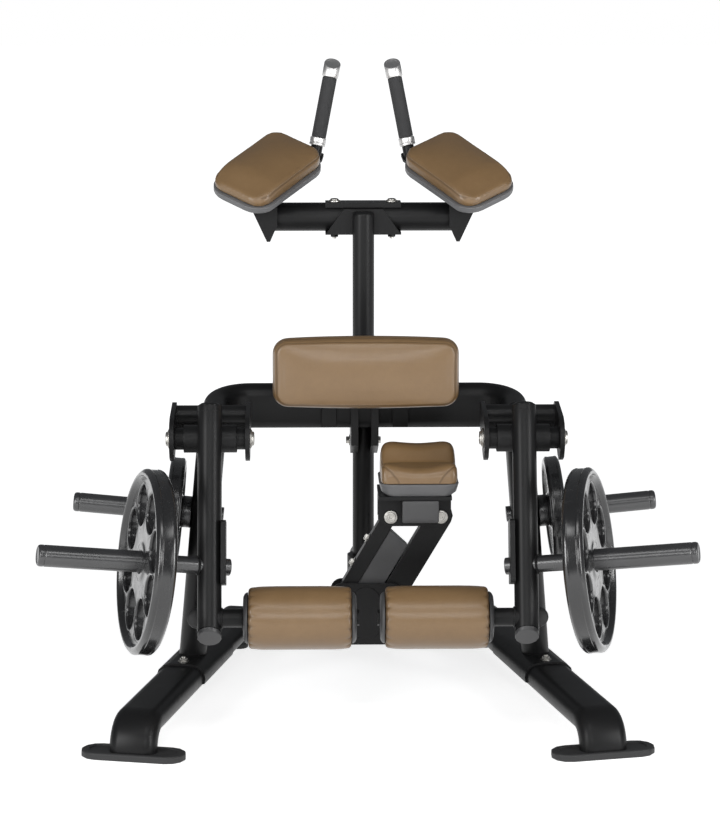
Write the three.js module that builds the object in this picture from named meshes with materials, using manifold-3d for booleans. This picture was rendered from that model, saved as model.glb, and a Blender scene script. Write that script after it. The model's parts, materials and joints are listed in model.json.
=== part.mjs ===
import * as THREE from 'three';
import { mergeVertices } from 'three/addons/utils/BufferGeometryUtils.js';
import Module from 'manifold-3d';

const wasm = await Module();
wasm.setup();

// A plate-loaded kneeling hamstring machine, in millimetres, +Z up.
// +Y runs from the roller side, where the lower legs trail, to the elbow rests.
// Left is -X. Every left piece has its mirror image on the right.

const degrees = Math.PI / 180;
const left = -1;

const fit = { gap: 0.3, overrun: 900, weld: 0.0005 };

// Base: two flat-oval rails that toe in towards the rear, on feet.
const rail = { width: 114, height: 60, frontX: 549, frontY: -222, rearY: 800, toeIn: 12.5 * degrees };
const foot = { length: 252, width: 84, thickness: 18, recess: 3, endWall: 19, sideWall: 10, edge: 3 };
const rearFoot = { radius: 26, height: 45, inset: 34 };
const rearTube = { depth: 114, inset: 60 };

// Spine along the middle, from the knee linkage to the rear tube.
const spine = { width: 66, height: 124, z: 262, flange: 8, flangeWidth: 104, flangeDepth: 148 };

// Column and elbow bar.
const column = { radius: 27, y: 430, headRise: 17.5, dome: 9, collarRadius: 41, collarHeight: 10 };
const bar = { radius: 35.8, length: 459, y: 478, z: 1193.2 };
const barSaddle = {
  length: 190, depth: 62, thickness: 9, boltX: 72, boltRadius: 6, noseTop: 98, noseHeight: 64,
  floor: 5,
};
const barCap = {
  depth: 64, thickness: 13, rise: 2.5, washerRadius: 15, washer: 3, nutRadius: 11, nut: 9,
  topNut: 4,
};

// Thigh bow: one bent flat-oval tube whose plane tips down towards the rollers.
const bow = { height: 114, thickness: 60, y: 285, z: 745, armX: 365, bend: 85, tilt: 8.5 * degrees };

// Pivot of the swing arms.
const pivot = {
  z: 715, centreX: 371, shaftRadius: 13, headRadius: 23.5, head: 10, hubRadius: 33, hubLength: 126,
};
const cheek = { outerX: 467, innerX: 277, thickness: 11, frontRadius: 53, rearRadius: 30 };
const cross = { radius: 22, y: 125, z: 751.6, web: 8, webDrop: 40 };
const spacer = { radius: 26 };

// Uprights and what they carry.
const upright = {
  depth: 108, width: 68, footX: 431, footY: 318, footZ: 115, topX: 375, topY: 160, topZ: 680,
};
const sleeve = { wall: 6, length: 288, frontY: 192, low: 62 };
const stop = {
  x: 402, plate: 12, bossRadius: 23.5, boss: 34, domeRadius: 23.5, dome: 22, top: 470, low: 200,
};

// Swing arm.
const arm = {
  radius: 28.5, offset: 42, lean: 18 * degrees, above: 73, below: 480, dome: 8,
  slash: 28.5 * degrees,
};
const armCap = { thickness: 9 };
const armPlate = { thickness: 12, width: 62, height: 150, reach: 27, rise: 31 };
const roller = {
  along: 428, padRadius: 74.5, outerX: 280.6, innerX: 38.7, shaftRadius: 21.5, axleRadius: 13,
};
const disc = { radius: 60, thickness: 12, crown: 5, tubeRadius: 30 };
const rollerNut = { radius: 19, thickness: 5 };
const padEnd = { edge: 11, crown: 2.5, lip: 4 };

// Horns and weight plates.
const workHorn = {
  along: 306, yaw: 15 * degrees, rise: 7.3 * degrees, tip: 408, rootRadius: 20, innerReach: 49,
};
const workSleeve = { radius: 25.5, edge: 3, collarRadius: 34, collar: 14 };
const storeHorn = { z: 488, rise: 5.5 * degrees, tip: 324, rootRadius: 19, innerReach: 46 };
const storeSleeve = { radius: 23.5, edge: 3, collarRadius: 39, collar: 22 };
const bigPlate = {
  radius: 217, thickness: 50, rim: 18, web: 26, face: 126, holes: 8, holeRadius: 47,
  holeCircle: 135,
};
const smallPlate = { radius: 132, thickness: 38, rim: 13, web: 18 };
const plateHub = { wall: 16, edge: 6 };

// Thigh rest.
const thigh = {
  width: 452, height: 180, y: 70, z: 855, thickness: 65, corner: 38, crown: 9, edge: 16,
  arch: 0.08,
};
const board = { thickness: 18, margin: 12, strapX: 88, strapWidth: 38, strap: 8, strapLow: 45, arm: 28 };

// Yoke that ties the bow to the column.
const yoke = {
  inner: 16, plate: 18, low: 608, toe: 60, front: 236, noseRise: 40, rear: 36, top: 712, web: 12,
};
const yokeBolt = { z: 630.5, radius: 9 };

// Knee rest: a parallelogram that swings the pad from one side to the other.
const link = {
  depth: 38, leftWidth: 34, rightWidth: 58, length: 234, lean: 30.6 * degrees, lowZ: 311, y: 82,
};
const linkage = { lowX: 60.3, spread: 121.2, clearance: 2.5 };
const stopBlock = { low: 50, high: 48, drop: 12, depth: 30 };
const clevis = { plate: 8, halfWidth: 86, low: 195, top: 348, corner: 27, floor: 10, slack: 2 };
const nose = { width: 68, height: 131, z: 274, thickness: 5 };
const pin = { radius: 10, headRadius: 16.5, head: 6 };
const carriage = { lowZ: 489, topZ: 570, leftX: 28, rightX: 204, deck: 9, chamfer: 18, stubLow: 506 };
const stub = { leftX: 85, rightX: 173, frontY: 10, height: 54 };
const kneeTray = { leftX: 29, rightX: 222, frontY: -8, rearY: 182, thickness: 32, taper: 20 };
const kneePad = { inset: 5, lip: 51, dip: 37, hump: 81, corner: 20, lipSag: 0.16, humpSag: 0.05 };

// Elbow rests.
const elbow = {
  x: 239, y: 444, rise: 108.3, length: 268, width: 170, corner: 50, thickness: 52, crown: 15,
  edge: 32,
};
const elbowAxes = {
  across: new THREE.Vector3(0.795, -0.51, -0.328),
  along: new THREE.Vector3(0.607, 0.695, 0.39),
};
const tray = { margin: 5, thickness: 22, lip: 13, taper: 12 };
const seat = {
  thickness: 8, width: 96, length: 150, cheek: 8, tipDrop: 46, tipOut: 8, reachIn: 14,
  reachOut: 56,
};
const handle = {
  side: 24, along: 166, riseX: 47, riseY: 27, riseZ: 243, post: 27, collar: 21, grip: 154, cap: 44,
};
const handleSize = { post: 15, collar: 20.5, core: 11, grip: 18.5, cap: 21, slash: 33 * degrees, arm: 44 };

const facets = { tube: 14, small: 8, plate: 28, oval: 3, bend: 6, edge: 3 };

const blackPaint = { color: 0x242425, roughness: 0.42, metalness: 0.3 };
const rubber = { color: 0x3c3c3d, roughness: 0.8, metalness: 0 };
const plateRubber = { color: 0x101011, roughness: 0.22, metalness: 0 };
const greyPlastic = { color: 0x5f5f60, roughness: 0.55, metalness: 0 };
const upholstery = { color: 0x92795a, roughness: 0.45, metalness: 0 };
const foamGrip = { color: 0x343434, roughness: 0.85, metalness: 0 };
const chrome = { color: 0xc9c9c9, roughness: 0.15, metalness: 1 };
const zinc = { color: 0xb4b2ac, roughness: 0.35, metalness: 0.9 };

// Geometry helpers.

function vector(x, y, z) {
  return new THREE.Vector3(x, y, z);
}

// Frame with its z axis along a direction and its y axis as near as possible to a hint.
function frameAlong(origin, direction, hint) {
  const z = direction.clone().normalize();
  const x = hint.clone().cross(z).normalize();
  const y = z.clone().cross(x);
  return new THREE.Matrix4().makeBasis(x, y, z).setPosition(origin);
}

function frameOf(x, y, z, origin) {
  return new THREE.Matrix4().makeBasis(x, y, z).setPosition(origin);
}

const upX = vector(1, 0, 0);
const upY = vector(0, 1, 0);
const upZ = vector(0, 0, 1);

function moved(geometry, matrix) {
  return geometry.clone().applyMatrix4(matrix);
}

function at(geometry, x, y, z) {
  return geometry.clone().translate(x, y, z);
}

// Reflection in the YZ plane, with the triangles turned so that faces still point out.
function mirrored(geometry) {
  const copy = welded(geometry);
  copy.scale(left, 1, 1);
  const order = copy.index.array;
  for (let i = 0; i < order.length; i += 3) {
    const first = order[i];
    order[i] = order[i + 1];
    order[i + 1] = first;
  }
  return shaded(copy);
}

function welded(geometry) {
  const bare = geometry.clone();
  bare.deleteAttribute('normal');
  bare.deleteAttribute('uv');
  const merged = mergeVertices(bare, fit.weld);
  const order = merged.index.array;
  const kept = [];
  for (let i = 0; i < order.length; i += 3) {
    const [a, b, c] = [order[i], order[i + 1], order[i + 2]];
    if (a !== b && b !== c && c !== a) {
      kept.push(a, b, c);
    }
  }
  merged.setIndex(kept);
  return merged;
}

function shaded(geometry) {
  geometry.computeVertexNormals();
  return geometry;
}

function solid(geometry) {
  const merged = welded(geometry);
  return new wasm.Manifold(new wasm.Mesh({
    numProp: 3,
    vertProperties: Float32Array.from(merged.attributes.position.array),
    triVerts: Uint32Array.from(merged.index.array),
  }));
}

function surface(manifold) {
  const mesh = manifold.getMesh();
  const geometry = new THREE.BufferGeometry();
  geometry.setAttribute('position', new THREE.BufferAttribute(Float32Array.from(mesh.vertProperties), 3));
  geometry.setIndex(Array.from(mesh.triVerts));
  return shaded(geometry);
}

function join(first, ...others) {
  return surface(others.reduce((sum, other) => sum.add(solid(other)), solid(first)));
}

function cut(first, ...tools) {
  return surface(tools.reduce((rest, tool) => rest.subtract(solid(tool)), solid(first)));
}

function common(first, second) {
  return surface(solid(first).intersect(solid(second)));
}

function block(x0, x1, y0, y1, z0, z1) {
  const geometry = new THREE.BoxGeometry(x1 - x0, y1 - y0, z1 - z0);
  return geometry.translate((x0 + x1) / 2, (y0 + y1) / 2, (z0 + z1) / 2);
}

// Radius of a faceted bore whose flats clear a round piece by the running gap.
function bore(radius, sides = facets.tube) {
  return (radius + fit.gap) / Math.cos(Math.PI / sides);
}

// Radius of a seat with the same facets as the round piece that it fits.
function seatRadius(radius, sides = facets.tube) {
  return radius + fit.gap / Math.cos(Math.PI / sides);
}

// Round bar along z, from z0 to z1.
function rod(radius, z0, z1, sides = facets.tube) {
  const geometry = new THREE.CylinderGeometry(radius, radius, z1 - z0, sides);
  return geometry.rotateX(Math.PI / 2).translate(0, 0, (z0 + z1) / 2);
}

// Round bar along x, from x0 to x1.
function rodX(radius, x0, x1, y, z, sides = facets.tube) {
  return rod(radius, x0, x1, sides).rotateY(Math.PI / 2).translate(0, y, z);
}

// Round bar along y, from y0 to y1.
function rodY(radius, y0, y1, x, z, sides = facets.tube) {
  return rod(radius, -y1, -y0, sides).rotateX(Math.PI / 2).translate(x, 0, z);
}

// Solid of revolution about z from [radius, z] pairs, listed with z rising on the outside.
function turned(profile, sides = facets.tube) {
  const points = profile.map(([r, z]) => new THREE.Vector2(r, z));
  return new THREE.LatheGeometry(points, sides).rotateX(Math.PI / 2);
}

// Flat-oval outline: two straight sides closed by half circles.
function ovalShape(width, height) {
  const shape = new THREE.Shape();
  if (width > height) {
    const run = (width - height) / 2;
    shape.absarc(run, 0, height / 2, -Math.PI / 2, Math.PI / 2, false);
    shape.absarc(-run, 0, height / 2, Math.PI / 2, 1.5 * Math.PI, false);
  } else {
    const run = (height - width) / 2;
    shape.absarc(0, run, width / 2, 0, Math.PI, false);
    shape.absarc(0, -run, width / 2, Math.PI, 2 * Math.PI, false);
  }
  return shape;
}

// Rectangle with rounded corners, centred.
function softShape(width, height, corner) {
  const [a, b] = [width / 2 - corner, height / 2 - corner];
  const shape = new THREE.Shape();
  shape.absarc(a, b, corner, 0, Math.PI / 2, false);
  shape.absarc(-a, b, corner, Math.PI / 2, Math.PI, false);
  shape.absarc(-a, -b, corner, Math.PI, 1.5 * Math.PI, false);
  shape.absarc(a, -b, corner, 1.5 * Math.PI, 2 * Math.PI, false);
  return shape;
}

function polygon(pairs) {
  return new THREE.Shape(pairs.map(([x, y]) => new THREE.Vector2(x, y)));
}

// Outline of a belt round two circles in a plane, for a plate with two bosses.
function beltShape(x0, y0, r0, x1, y1, r1) {
  const length = Math.hypot(x1 - x0, y1 - y0);
  const heading = Math.atan2(y1 - y0, x1 - x0);
  const spread = Math.acos((r0 - r1) / length);
  const shape = new THREE.Shape();
  shape.absarc(x0, y0, r0, heading + spread, heading - spread + 2 * Math.PI, false);
  shape.absarc(x1, y1, r1, heading - spread, heading + spread, false);
  return shape;
}

// Flat plate from an outline, from z = 0 to its thickness, with a broken edge if asked.
function plate(shape, thickness, edge = 0, curve = facets.oval) {
  const geometry = new THREE.ExtrudeGeometry(shape, {
    depth: thickness - 2 * edge,
    bevelEnabled: edge > 0,
    bevelThickness: edge,
    bevelSize: edge,
    bevelOffset: -edge,
    bevelSegments: 1,
    curveSegments: curve,
  });
  return geometry.translate(0, 0, edge);
}

// Turns a plate drawn in x and z into the XZ plane, its thickness running along +y.
function facingY(geometry, y) {
  return geometry.clone().rotateX(Math.PI / 2).translate(0, y, 0);
}

// Turns a plate drawn in y and z into the YZ plane, its thickness running along +x.
function facingX(geometry, x) {
  return geometry.clone().rotateX(Math.PI / 2).rotateZ(Math.PI / 2).translate(x, 0, 0);
}

// A route through given stations, used as an extrude path with one ring for each station.
class Route extends THREE.Curve {
  constructor(points, tangents) {
    super();
    this.points = points;
    this.tangents = tangents;
  }

  station(list, u) {
    return list[Math.round(u * (list.length - 1))];
  }

  getPointAt(u, target = new THREE.Vector3()) {
    return target.copy(this.station(this.points, u));
  }

  getTangentAt(u, target = new THREE.Vector3()) {
    return target.copy(this.station(this.tangents, u));
  }
}

// Route in the xy plane along straight runs, with round bends at the inner corners.
function roundedRoute(corners, bend, perBend = facets.bend) {
  const points = [];
  const tangents = [];
  const add = (point, tangent) => {
    const last = points[points.length - 1];
    if (!last || last.distanceTo(point) > fit.gap) {
      points.push(point);
      tangents.push(tangent);
    }
  };
  const heading = corners.slice(1).map((corner, i) => corner.clone().sub(corners[i]).normalize());
  add(corners[0].clone(), heading[0]);
  for (let i = 1; i < corners.length - 1; i += 1) {
    const [before, after] = [heading[i - 1], heading[i]];
    const turn = before.angleTo(after);
    const side = Math.sign(before.clone().cross(after).z);
    const inward = upZ.clone().cross(before).multiplyScalar(side);
    const start = corners[i].clone().addScaledVector(before, -bend * Math.tan(turn / 2));
    const centre = start.clone().addScaledVector(inward, bend);
    for (let step = 0; step <= perBend; step += 1) {
      const angle = side * turn * step / perBend;
      const spoke = start.clone().sub(centre).applyAxisAngle(upZ, angle);
      add(centre.clone().add(spoke), before.clone().applyAxisAngle(upZ, angle));
    }
  }
  add(corners[corners.length - 1].clone(), heading[heading.length - 1]);
  return new Route(points, tangents);
}

// Tube along a route; the section's x lies out of the route's plane and its y in it.
function tubeAlong(section, route) {
  return new THREE.ExtrudeGeometry(section, {
    steps: route.points.length - 1,
    bevelEnabled: false,
    extrudePath: route,
    curveSegments: facets.oval,
  });
}

// Closed skin through rings that all have the same number of points, with a cap at each end.
function ringSkin(rings) {
  const count = rings[0].length;
  const position = [];
  const index = [];
  rings.forEach((ring) => ring.forEach((point) => position.push(point.x, point.y, point.z)));
  for (let r = 0; r < rings.length - 1; r += 1) {
    for (let i = 0; i < count; i += 1) {
      const [a, b] = [r * count + i, r * count + (i + 1) % count];
      index.push(a, b, b + count, a, b + count, a + count);
    }
  }
  [[0, 1], [rings.length - 1, -1]].forEach(([r, turn]) => {
    const middle = rings[r].reduce((sum, point) => sum.add(point), vector(0, 0, 0));
    middle.divideScalar(count);
    position.push(middle.x, middle.y, middle.z);
    const centre = position.length / 3 - 1;
    for (let i = 0; i < count; i += 1) {
      const [a, b] = [r * count + i, r * count + (i + 1) % count];
      index.push(...(turn > 0 ? [centre, b, a] : [centre, a, b]));
    }
  });
  const geometry = new THREE.BufferGeometry();
  geometry.setAttribute('position', new THREE.Float32BufferAttribute(position, 3));
  geometry.setIndex(index);
  return shaded(geometry);
}

// Padded board: flat back at z = 0, sides drawn in at the back, a rolled edge and a crown.
const cushionShares = [
  [0.2, 0], [0.04, 0.16], [0, 0.4], [0.06, 0.64], [0.28, 0.85], [0.62, 0.97], [1, 1],
];
const crownShares = [0.62, 0.42, 0.22];

function cushion({ width, height, corner, thickness, crown, edge, arch = 0 }) {
  const side = thickness - crown;
  const ringAt = (inset, z) => {
    const shape = softShape(width - 2 * inset, height - 2 * inset, Math.max(corner - inset, corner / 4));
    return shape.getPoints(facets.edge).slice(0, -1).map((point) => vector(
      point.x,
      point.y * (1 - arch * (2 * point.x / width) ** 2),
      z,
    ));
  };
  const rings = cushionShares.map(([inward, up]) => ringAt(inward * edge, up * side));
  const outer = rings[rings.length - 1];
  crownShares.forEach((share) => {
    rings.push(outer.map((point) => vector(
      point.x * share,
      point.y * share,
      side + crown * (1 - share * share),
    )));
  });
  return ringSkin(rings);
}

// Scene assembly helpers.

function named(group, name, geometry, look, matrix = new THREE.Matrix4()) {
  const mesh = new THREE.Mesh(geometry, new THREE.MeshStandardMaterial(look));
  mesh.name = name;
  matrix.decompose(mesh.position, mesh.quaternion, mesh.scale);
  group.add(mesh);
  return mesh;
}

const flip = new THREE.Matrix4().makeScale(left, 1, 1);

// The left piece where it is given, and its mirror image on the right.
function pair(group, name, geometry, look, matrix = new THREE.Matrix4()) {
  named(group, `${name}_left`, geometry, look, matrix);
  const opposite = flip.clone().multiply(matrix).multiply(flip);
  named(group, `${name}_right`, mirrored(geometry), look, opposite);
}

// Base.

const railTop = foot.thickness - foot.recess + fit.gap;
const railZ = rearFoot.height + rail.height / 2;
const toe = vector(Math.sin(rail.toeIn), Math.cos(rail.toeIn), 0);
const railSide = vector(Math.cos(rail.toeIn), -Math.sin(rail.toeIn), 0);
const railOrigin = vector(-rail.frontX, rail.frontY, 0);
const railFrame = frameOf(toe, upZ, railSide, railOrigin);
const railLength = (rail.rearY - rail.frontY) / Math.cos(rail.toeIn);
const railPoint = (run, z) => railOrigin.clone().addScaledVector(toe, run).setZ(z);
const railXAt = (y) => railPoint((y - rail.frontY) / Math.cos(rail.toeIn), 0).x;

function railSolid(grow, from = railTop) {
  const section = ovalShape(rail.width + 2 * grow, rail.height + 2 * grow);
  const run = railLength + (grow > 0 ? rail.width : 0);
  const corners = [vector(0, from, 0), vector(0, railZ, 0), vector(run, railZ, 0)];
  return tubeAlong(section, roundedRoute(corners, railZ - railTop));
}

const base = new THREE.Group();
pair(base, 'rail', railSolid(0), blackPaint, railFrame);

const footPlate = cut(
  plate(ovalShape(foot.length, foot.width), foot.thickness, foot.edge),
  at(
    plate(ovalShape(foot.length - 2 * foot.endWall, foot.width - 2 * foot.sideWall), foot.thickness),
    0, 0, foot.thickness - foot.recess,
  ),
);
const footFrame = frameOf(railSide, toe, upZ, railOrigin);
pair(base, 'front_foot', footPlate, rubber, footFrame);

const rearFootFrame = new THREE.Matrix4().setPosition(railPoint(railLength - rearFoot.inset, 0));
pair(base, 'rear_foot', rod(rearFoot.radius, 0, rearFoot.height - fit.gap), rubber, rearFootFrame);

const rearY = rail.rearY - rearTube.inset;
const railCutLeft = moved(railSolid(fit.gap), railFrame);
const railCutRight = mirrored(railCutLeft);
const rearReach = -railXAt(rearY);
const rearTubeBlank = plate(ovalShape(rail.height, rearTube.depth), 2 * rearReach)
  .rotateY(Math.PI / 2)
  .translate(-rearReach, rearY, railZ);
named(base, 'rear_cross_tube', cut(rearTubeBlank, railCutLeft, railCutRight), blackPaint);

// Knee base, spine and column.

const rearTop = railZ + rail.height / 2;
const clevisFront = link.y - link.depth / 2 - clevis.slack - clevis.plate;
const clevisRear = link.y + link.depth / 2 + clevis.slack;
const clevisBack = clevisRear + clevis.plate;
const spineFrame = frameOf(upY, upZ, upX, vector(0, clevisBack + fit.gap, 0));
const spineRun = rearY - clevisBack - fit.gap;
const spineFoot = rearTop + fit.gap;
const spineTube = tubeAlong(
  ovalShape(spine.width, spine.height),
  roundedRoute(
    [vector(0, spine.z, 0), vector(spineRun, spine.z, 0), vector(spineRun, spineFoot, 0)],
    spine.z - spineFoot,
  ),
);
const spineFlange = plate(
  softShape(spine.flangeWidth, spine.flangeDepth, spine.flangeWidth / 4), spine.flange,
).translate(0, rearY, spineFoot);
const spineBody = join(moved(spineTube, spineFrame), spineFlange);
named(base, 'spine', spineBody, blackPaint);

const spineTop = spine.z + spine.height / 2;
const spineGrown = moved(
  plate(ovalShape(spine.width + 2 * fit.gap, spine.height + 2 * fit.gap), spineRun),
  frameOf(upX, upZ, upY.clone().negate(), vector(0, rearY, spine.z)),
);
const barGrown = rodX(seatRadius(bar.radius), -bar.length, bar.length, bar.y, bar.z);
const saddleTop = bar.z - bar.radius - fit.gap;
const columnHead = bar.z + column.headRise;
const columnRod = turned([
  [0, spine.z],
  [column.radius, spine.z],
  [column.radius, columnHead - column.dome],
  [column.radius * Math.SQRT1_2, columnHead - column.dome * (1 - Math.SQRT1_2)],
  [0, columnHead],
]).translate(0, column.y, 0);
const columnCollar = rod(column.collarRadius, spine.z, spineTop + column.collarHeight)
  .translate(0, column.y, 0);
const noseY = bar.y - bar.radius - fit.gap - barSaddle.thickness;
const saddlePlate = block(
  -barSaddle.length / 2, barSaddle.length / 2,
  noseY, bar.y + barSaddle.depth / 2,
  saddleTop - barSaddle.floor, saddleTop,
);
const noseLow = saddleTop - barSaddle.floor;
const noseTop = noseLow + barSaddle.noseHeight;
const saddleNose = facingY(plate(polygon([
  [-barSaddle.length / 2, noseLow],
  [barSaddle.length / 2, noseLow],
  [barSaddle.noseTop / 2, noseTop],
  [-barSaddle.noseTop / 2, noseTop],
]), barSaddle.thickness), noseY + barSaddle.thickness);
const saddleBolts = [-barSaddle.boltX, barSaddle.boltX].map((x) => (
  rod(
    bore(barSaddle.boltRadius, facets.small), noseLow - fit.overrun / 2, noseTop + fit.overrun / 2,
    facets.small,
  ).translate(x, bar.y, 0)
));
const columnBody = cut(
  join(columnRod, columnCollar, saddlePlate, saddleNose), spineGrown, barGrown, ...saddleBolts,
);
named(base, 'column', columnBody, blackPaint);

const elbowGroup = new THREE.Group();
const barBody = cut(rodX(bar.radius, -bar.length / 2, bar.length / 2, bar.y, bar.z), ...saddleBolts);
named(elbowGroup, 'elbow_bar', barBody, blackPaint);

const capTop = bar.z + bar.radius + barCap.rise;
const capLow = capTop - barCap.thickness;
const capPlate = cut(block(
  -barSaddle.length / 2, barSaddle.length / 2,
  bar.y - barCap.depth / 2, bar.y + barCap.depth / 2,
  capLow, capTop,
), barGrown);
const capBolts = [-barSaddle.boltX, barSaddle.boltX].flatMap((x) => [
  rod(barSaddle.boltRadius, noseLow - barCap.nut, capTop, facets.small),
  rod(barCap.washerRadius, capTop - barCap.washer, capTop + barCap.washer, facets.small),
  rod(barCap.nutRadius, capTop, capTop + barCap.washer + barCap.topNut, 6),
  rod(barCap.nutRadius, noseLow - fit.gap - barCap.nut, noseLow - fit.gap, 6),
].map((piece) => piece.translate(x, bar.y, 0)));
named(elbowGroup, 'elbow_bar_cap', join(capPlate, ...capBolts), blackPaint);

// Thigh bow, pivot brackets and yoke.

const bowBack = vector(0, Math.cos(bow.tilt), Math.sin(bow.tilt));
const bowUp = vector(0, -Math.sin(bow.tilt), Math.cos(bow.tilt));
const bowFrame = frameOf(upX, bowBack, bowUp, vector(0, bow.y, bow.z));
const bowReach = (bow.y - cross.y - cross.radius / 2) / Math.cos(bow.tilt);

function bowSolid(grow) {
  const corners = [
    vector(-bow.armX, -bowReach, 0),
    vector(-bow.armX, 0, 0),
    vector(bow.armX, 0, 0),
    vector(bow.armX, -bowReach, 0),
  ];
  const section = ovalShape(bow.height + 2 * grow, bow.thickness + 2 * grow);
  return moved(tubeAlong(section, roundedRoute(corners, bow.bend)), bowFrame);
}

const crossLength = cheek.outerX - cheek.innerX;
const crossGrown = [left, 1].map((side) => rodX(
  seatRadius(cross.radius), side * pivot.centreX - crossLength / 2, side * pivot.centreX + crossLength / 2,
  cross.y, cross.z,
));
const frame = new THREE.Group();
const bowBody = cut(bowSolid(0), ...crossGrown);
named(frame, 'thigh_bow', bowBody, blackPaint);

const cheekShape = beltShape(0, pivot.z, cheek.frontRadius, cross.y, cross.z, cheek.rearRadius);
const cheekPlate = plate(cheekShape, cheek.thickness, 0, facets.oval);
const shaftHole = rodX(
  bore(pivot.shaftRadius, facets.small), -cheek.outerX - fit.overrun, fit.overrun, 0, pivot.z, facets.small,
);
const bracketBody = cut(join(
  facingX(cheekPlate, -cheek.outerX),
  facingX(cheekPlate, -cheek.innerX - cheek.thickness),
  rodX(cross.radius, -cheek.outerX, -cheek.innerX, cross.y, cross.z),
  block(
    -cheek.outerX, -cheek.innerX, cross.y - cross.web / 2, cross.y + cross.web / 2,
    cross.z - cross.webDrop, cross.z,
  ),
), shaftHole);
pair(frame, 'pivot_bracket', bracketBody, blackPaint);

const shaftBody = join(
  rodX(pivot.shaftRadius, -cheek.outerX - pivot.head, -cheek.innerX + pivot.head, 0, pivot.z, facets.small),
  rodX(
    pivot.headRadius, -cheek.outerX - fit.gap - pivot.head, -cheek.outerX - fit.gap, 0, pivot.z,
  ),
  rodX(
    pivot.headRadius, -cheek.innerX + fit.gap, -cheek.innerX + fit.gap + pivot.head, 0, pivot.z,
  ),
);
pair(frame, 'pivot_shaft', shaftBody, zinc);

const yokeCheek = facingX(plate(polygon([
  [column.y + yoke.rear, yoke.low],
  [column.y + yoke.rear, yoke.top],
  [bow.y, yoke.top + yoke.noseRise],
  [yoke.front, yoke.top + yoke.noseRise],
  [yoke.front, yoke.top - bow.thickness],
  [column.y - yoke.toe, yoke.low],
]), yoke.plate), 0);
const bowRearY = bow.y + bow.thickness / 2;
const yokeWeb = block(
  -yoke.inner - yoke.plate, yoke.inner + yoke.plate,
  bow.y, bowRearY + yoke.web + bow.thickness / 4,
  bow.z - bow.height / 4, bow.z,
);
const yokeBolts = [left, 1].map((side) => rodX(
  yokeBolt.radius,
  side * (yoke.inner + yoke.plate) - pin.head, side * (yoke.inner + yoke.plate) + pin.head,
  column.y, yokeBolt.z, 6,
));
const columnGrown = rod(seatRadius(column.radius), spine.z, bar.z).translate(0, column.y, 0);
const yokeBody = cut(join(
  at(yokeCheek, -yoke.inner - yoke.plate, 0, 0),
  at(yokeCheek, yoke.inner, 0, 0),
  yokeWeb,
  ...yokeBolts,
), bowSolid(fit.gap), columnGrown);
named(frame, 'column_clamp', yokeBody, blackPaint);

// Side frames: upright, rail sleeve and stop bracket.

const uprightFoot = vector(-upright.footX, upright.footY, upright.footZ);
const uprightTop = vector(-upright.topX, upright.topY, upright.topZ);
const uprightUp = uprightTop.clone().sub(uprightFoot);
const uprightFrame = frameAlong(uprightFoot, uprightUp, upY);
const uprightBlank = moved(
  plate(ovalShape(upright.width, upright.depth), 1.2 * uprightUp.length())
    .translate(0, 0, -rail.height / 2),
  uprightFrame,
);
const underBow = moved(block(
  -fit.overrun, fit.overrun, -fit.overrun, fit.overrun, -bow.height / 2 - fit.gap, fit.overrun,
), bowFrame);
const sleeveRun = (sleeve.frontY - rail.frontY) / Math.cos(rail.toeIn);
const sleeveTube = moved(
  plate(ovalShape(rail.width + 2 * sleeve.wall, rail.height + 2 * sleeve.wall), sleeve.length),
  frameOf(railSide, upZ, toe.clone().negate(), railPoint(sleeveRun + sleeve.length, railZ)),
);
const uprightCentre = (z) => uprightFoot.clone().addScaledVector(
  uprightUp, (z - upright.footZ) / uprightUp.z,
);

// Swing-arm frame: z up the tube, y to its back, x across, at the foot of the offset.
const armUp = vector(0, Math.sin(arm.lean), Math.cos(arm.lean));
const armBack = vector(0, Math.cos(arm.lean), -Math.sin(arm.lean));
const armOrigin = vector(-pivot.centreX, 0, pivot.z).addScaledVector(armBack, -arm.offset);
const armFrame = frameOf(upX, armBack, armUp, armOrigin);
const armPoint = (down) => armOrigin.clone().addScaledVector(armUp, -down);

const stopDown = (roller.along + arm.below) / 2 - arm.radius;
const stopTouch = armPoint(stopDown).addScaledVector(armBack, arm.radius + fit.gap).setX(-stop.x);
const stopFrame = frameAlong(stopTouch, armBack, upX);
const stopBack = stop.dome + fit.gap;
const stopEnd = stopTouch.clone().addScaledVector(armBack, stopBack + stop.boss / 2);
const stopGusset = facingX(plate(polygon([
  [stopEnd.y, stopEnd.z - stop.bossRadius / 2],
  [uprightCentre(stop.low).y, stop.low],
  [uprightCentre(stop.top).y, stop.top],
  [stopEnd.y, stopEnd.z + stop.bossRadius / 2],
]), stop.plate), -stop.x - stop.plate / 2);
const stopBoss = moved(rod(stop.bossRadius, stopBack, stopBack + stop.boss), stopFrame);

const storeOut = vector(-Math.cos(storeHorn.rise), 0, Math.sin(storeHorn.rise));
const storeOrigin = uprightCentre(storeHorn.z);
const storeFrame = frameAlong(storeOrigin, storeOut, upZ);
const storeHole = moved(
  rod(bore(storeHorn.rootRadius), -fit.overrun / 4, upright.width / 2 + fit.overrun / 4),
  storeFrame,
);
const underSleeve = block(-fit.overrun, fit.overrun, -fit.overrun, fit.overrun, 0, sleeve.low);
const sideBody = cut(
  join(uprightBlank, sleeveTube, stopGusset, stopBoss), underBow, railCutLeft, storeHole, underSleeve,
);
pair(frame, 'side_frame', sideBody, blackPaint);

const domeSteps = facets.edge;
const domeProfile = Array.from({ length: domeSteps + 1 }, (unused, i) => {
  const angle = i / domeSteps * Math.PI / 2;
  return [stop.domeRadius * Math.cos(angle), stop.dome / 2 * (1 + Math.sin(angle))];
});
domeProfile.at(-1)[0] = 0;
const domeBody = turned([[0, 0], [stop.domeRadius, 0], ...domeProfile])
  .rotateX(Math.PI)
  .translate(0, 0, stop.dome);
pair(frame, 'bumper', domeBody, rubber, stopFrame);

// Horns: a root through the frame, a collar and a loading sleeve.

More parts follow.
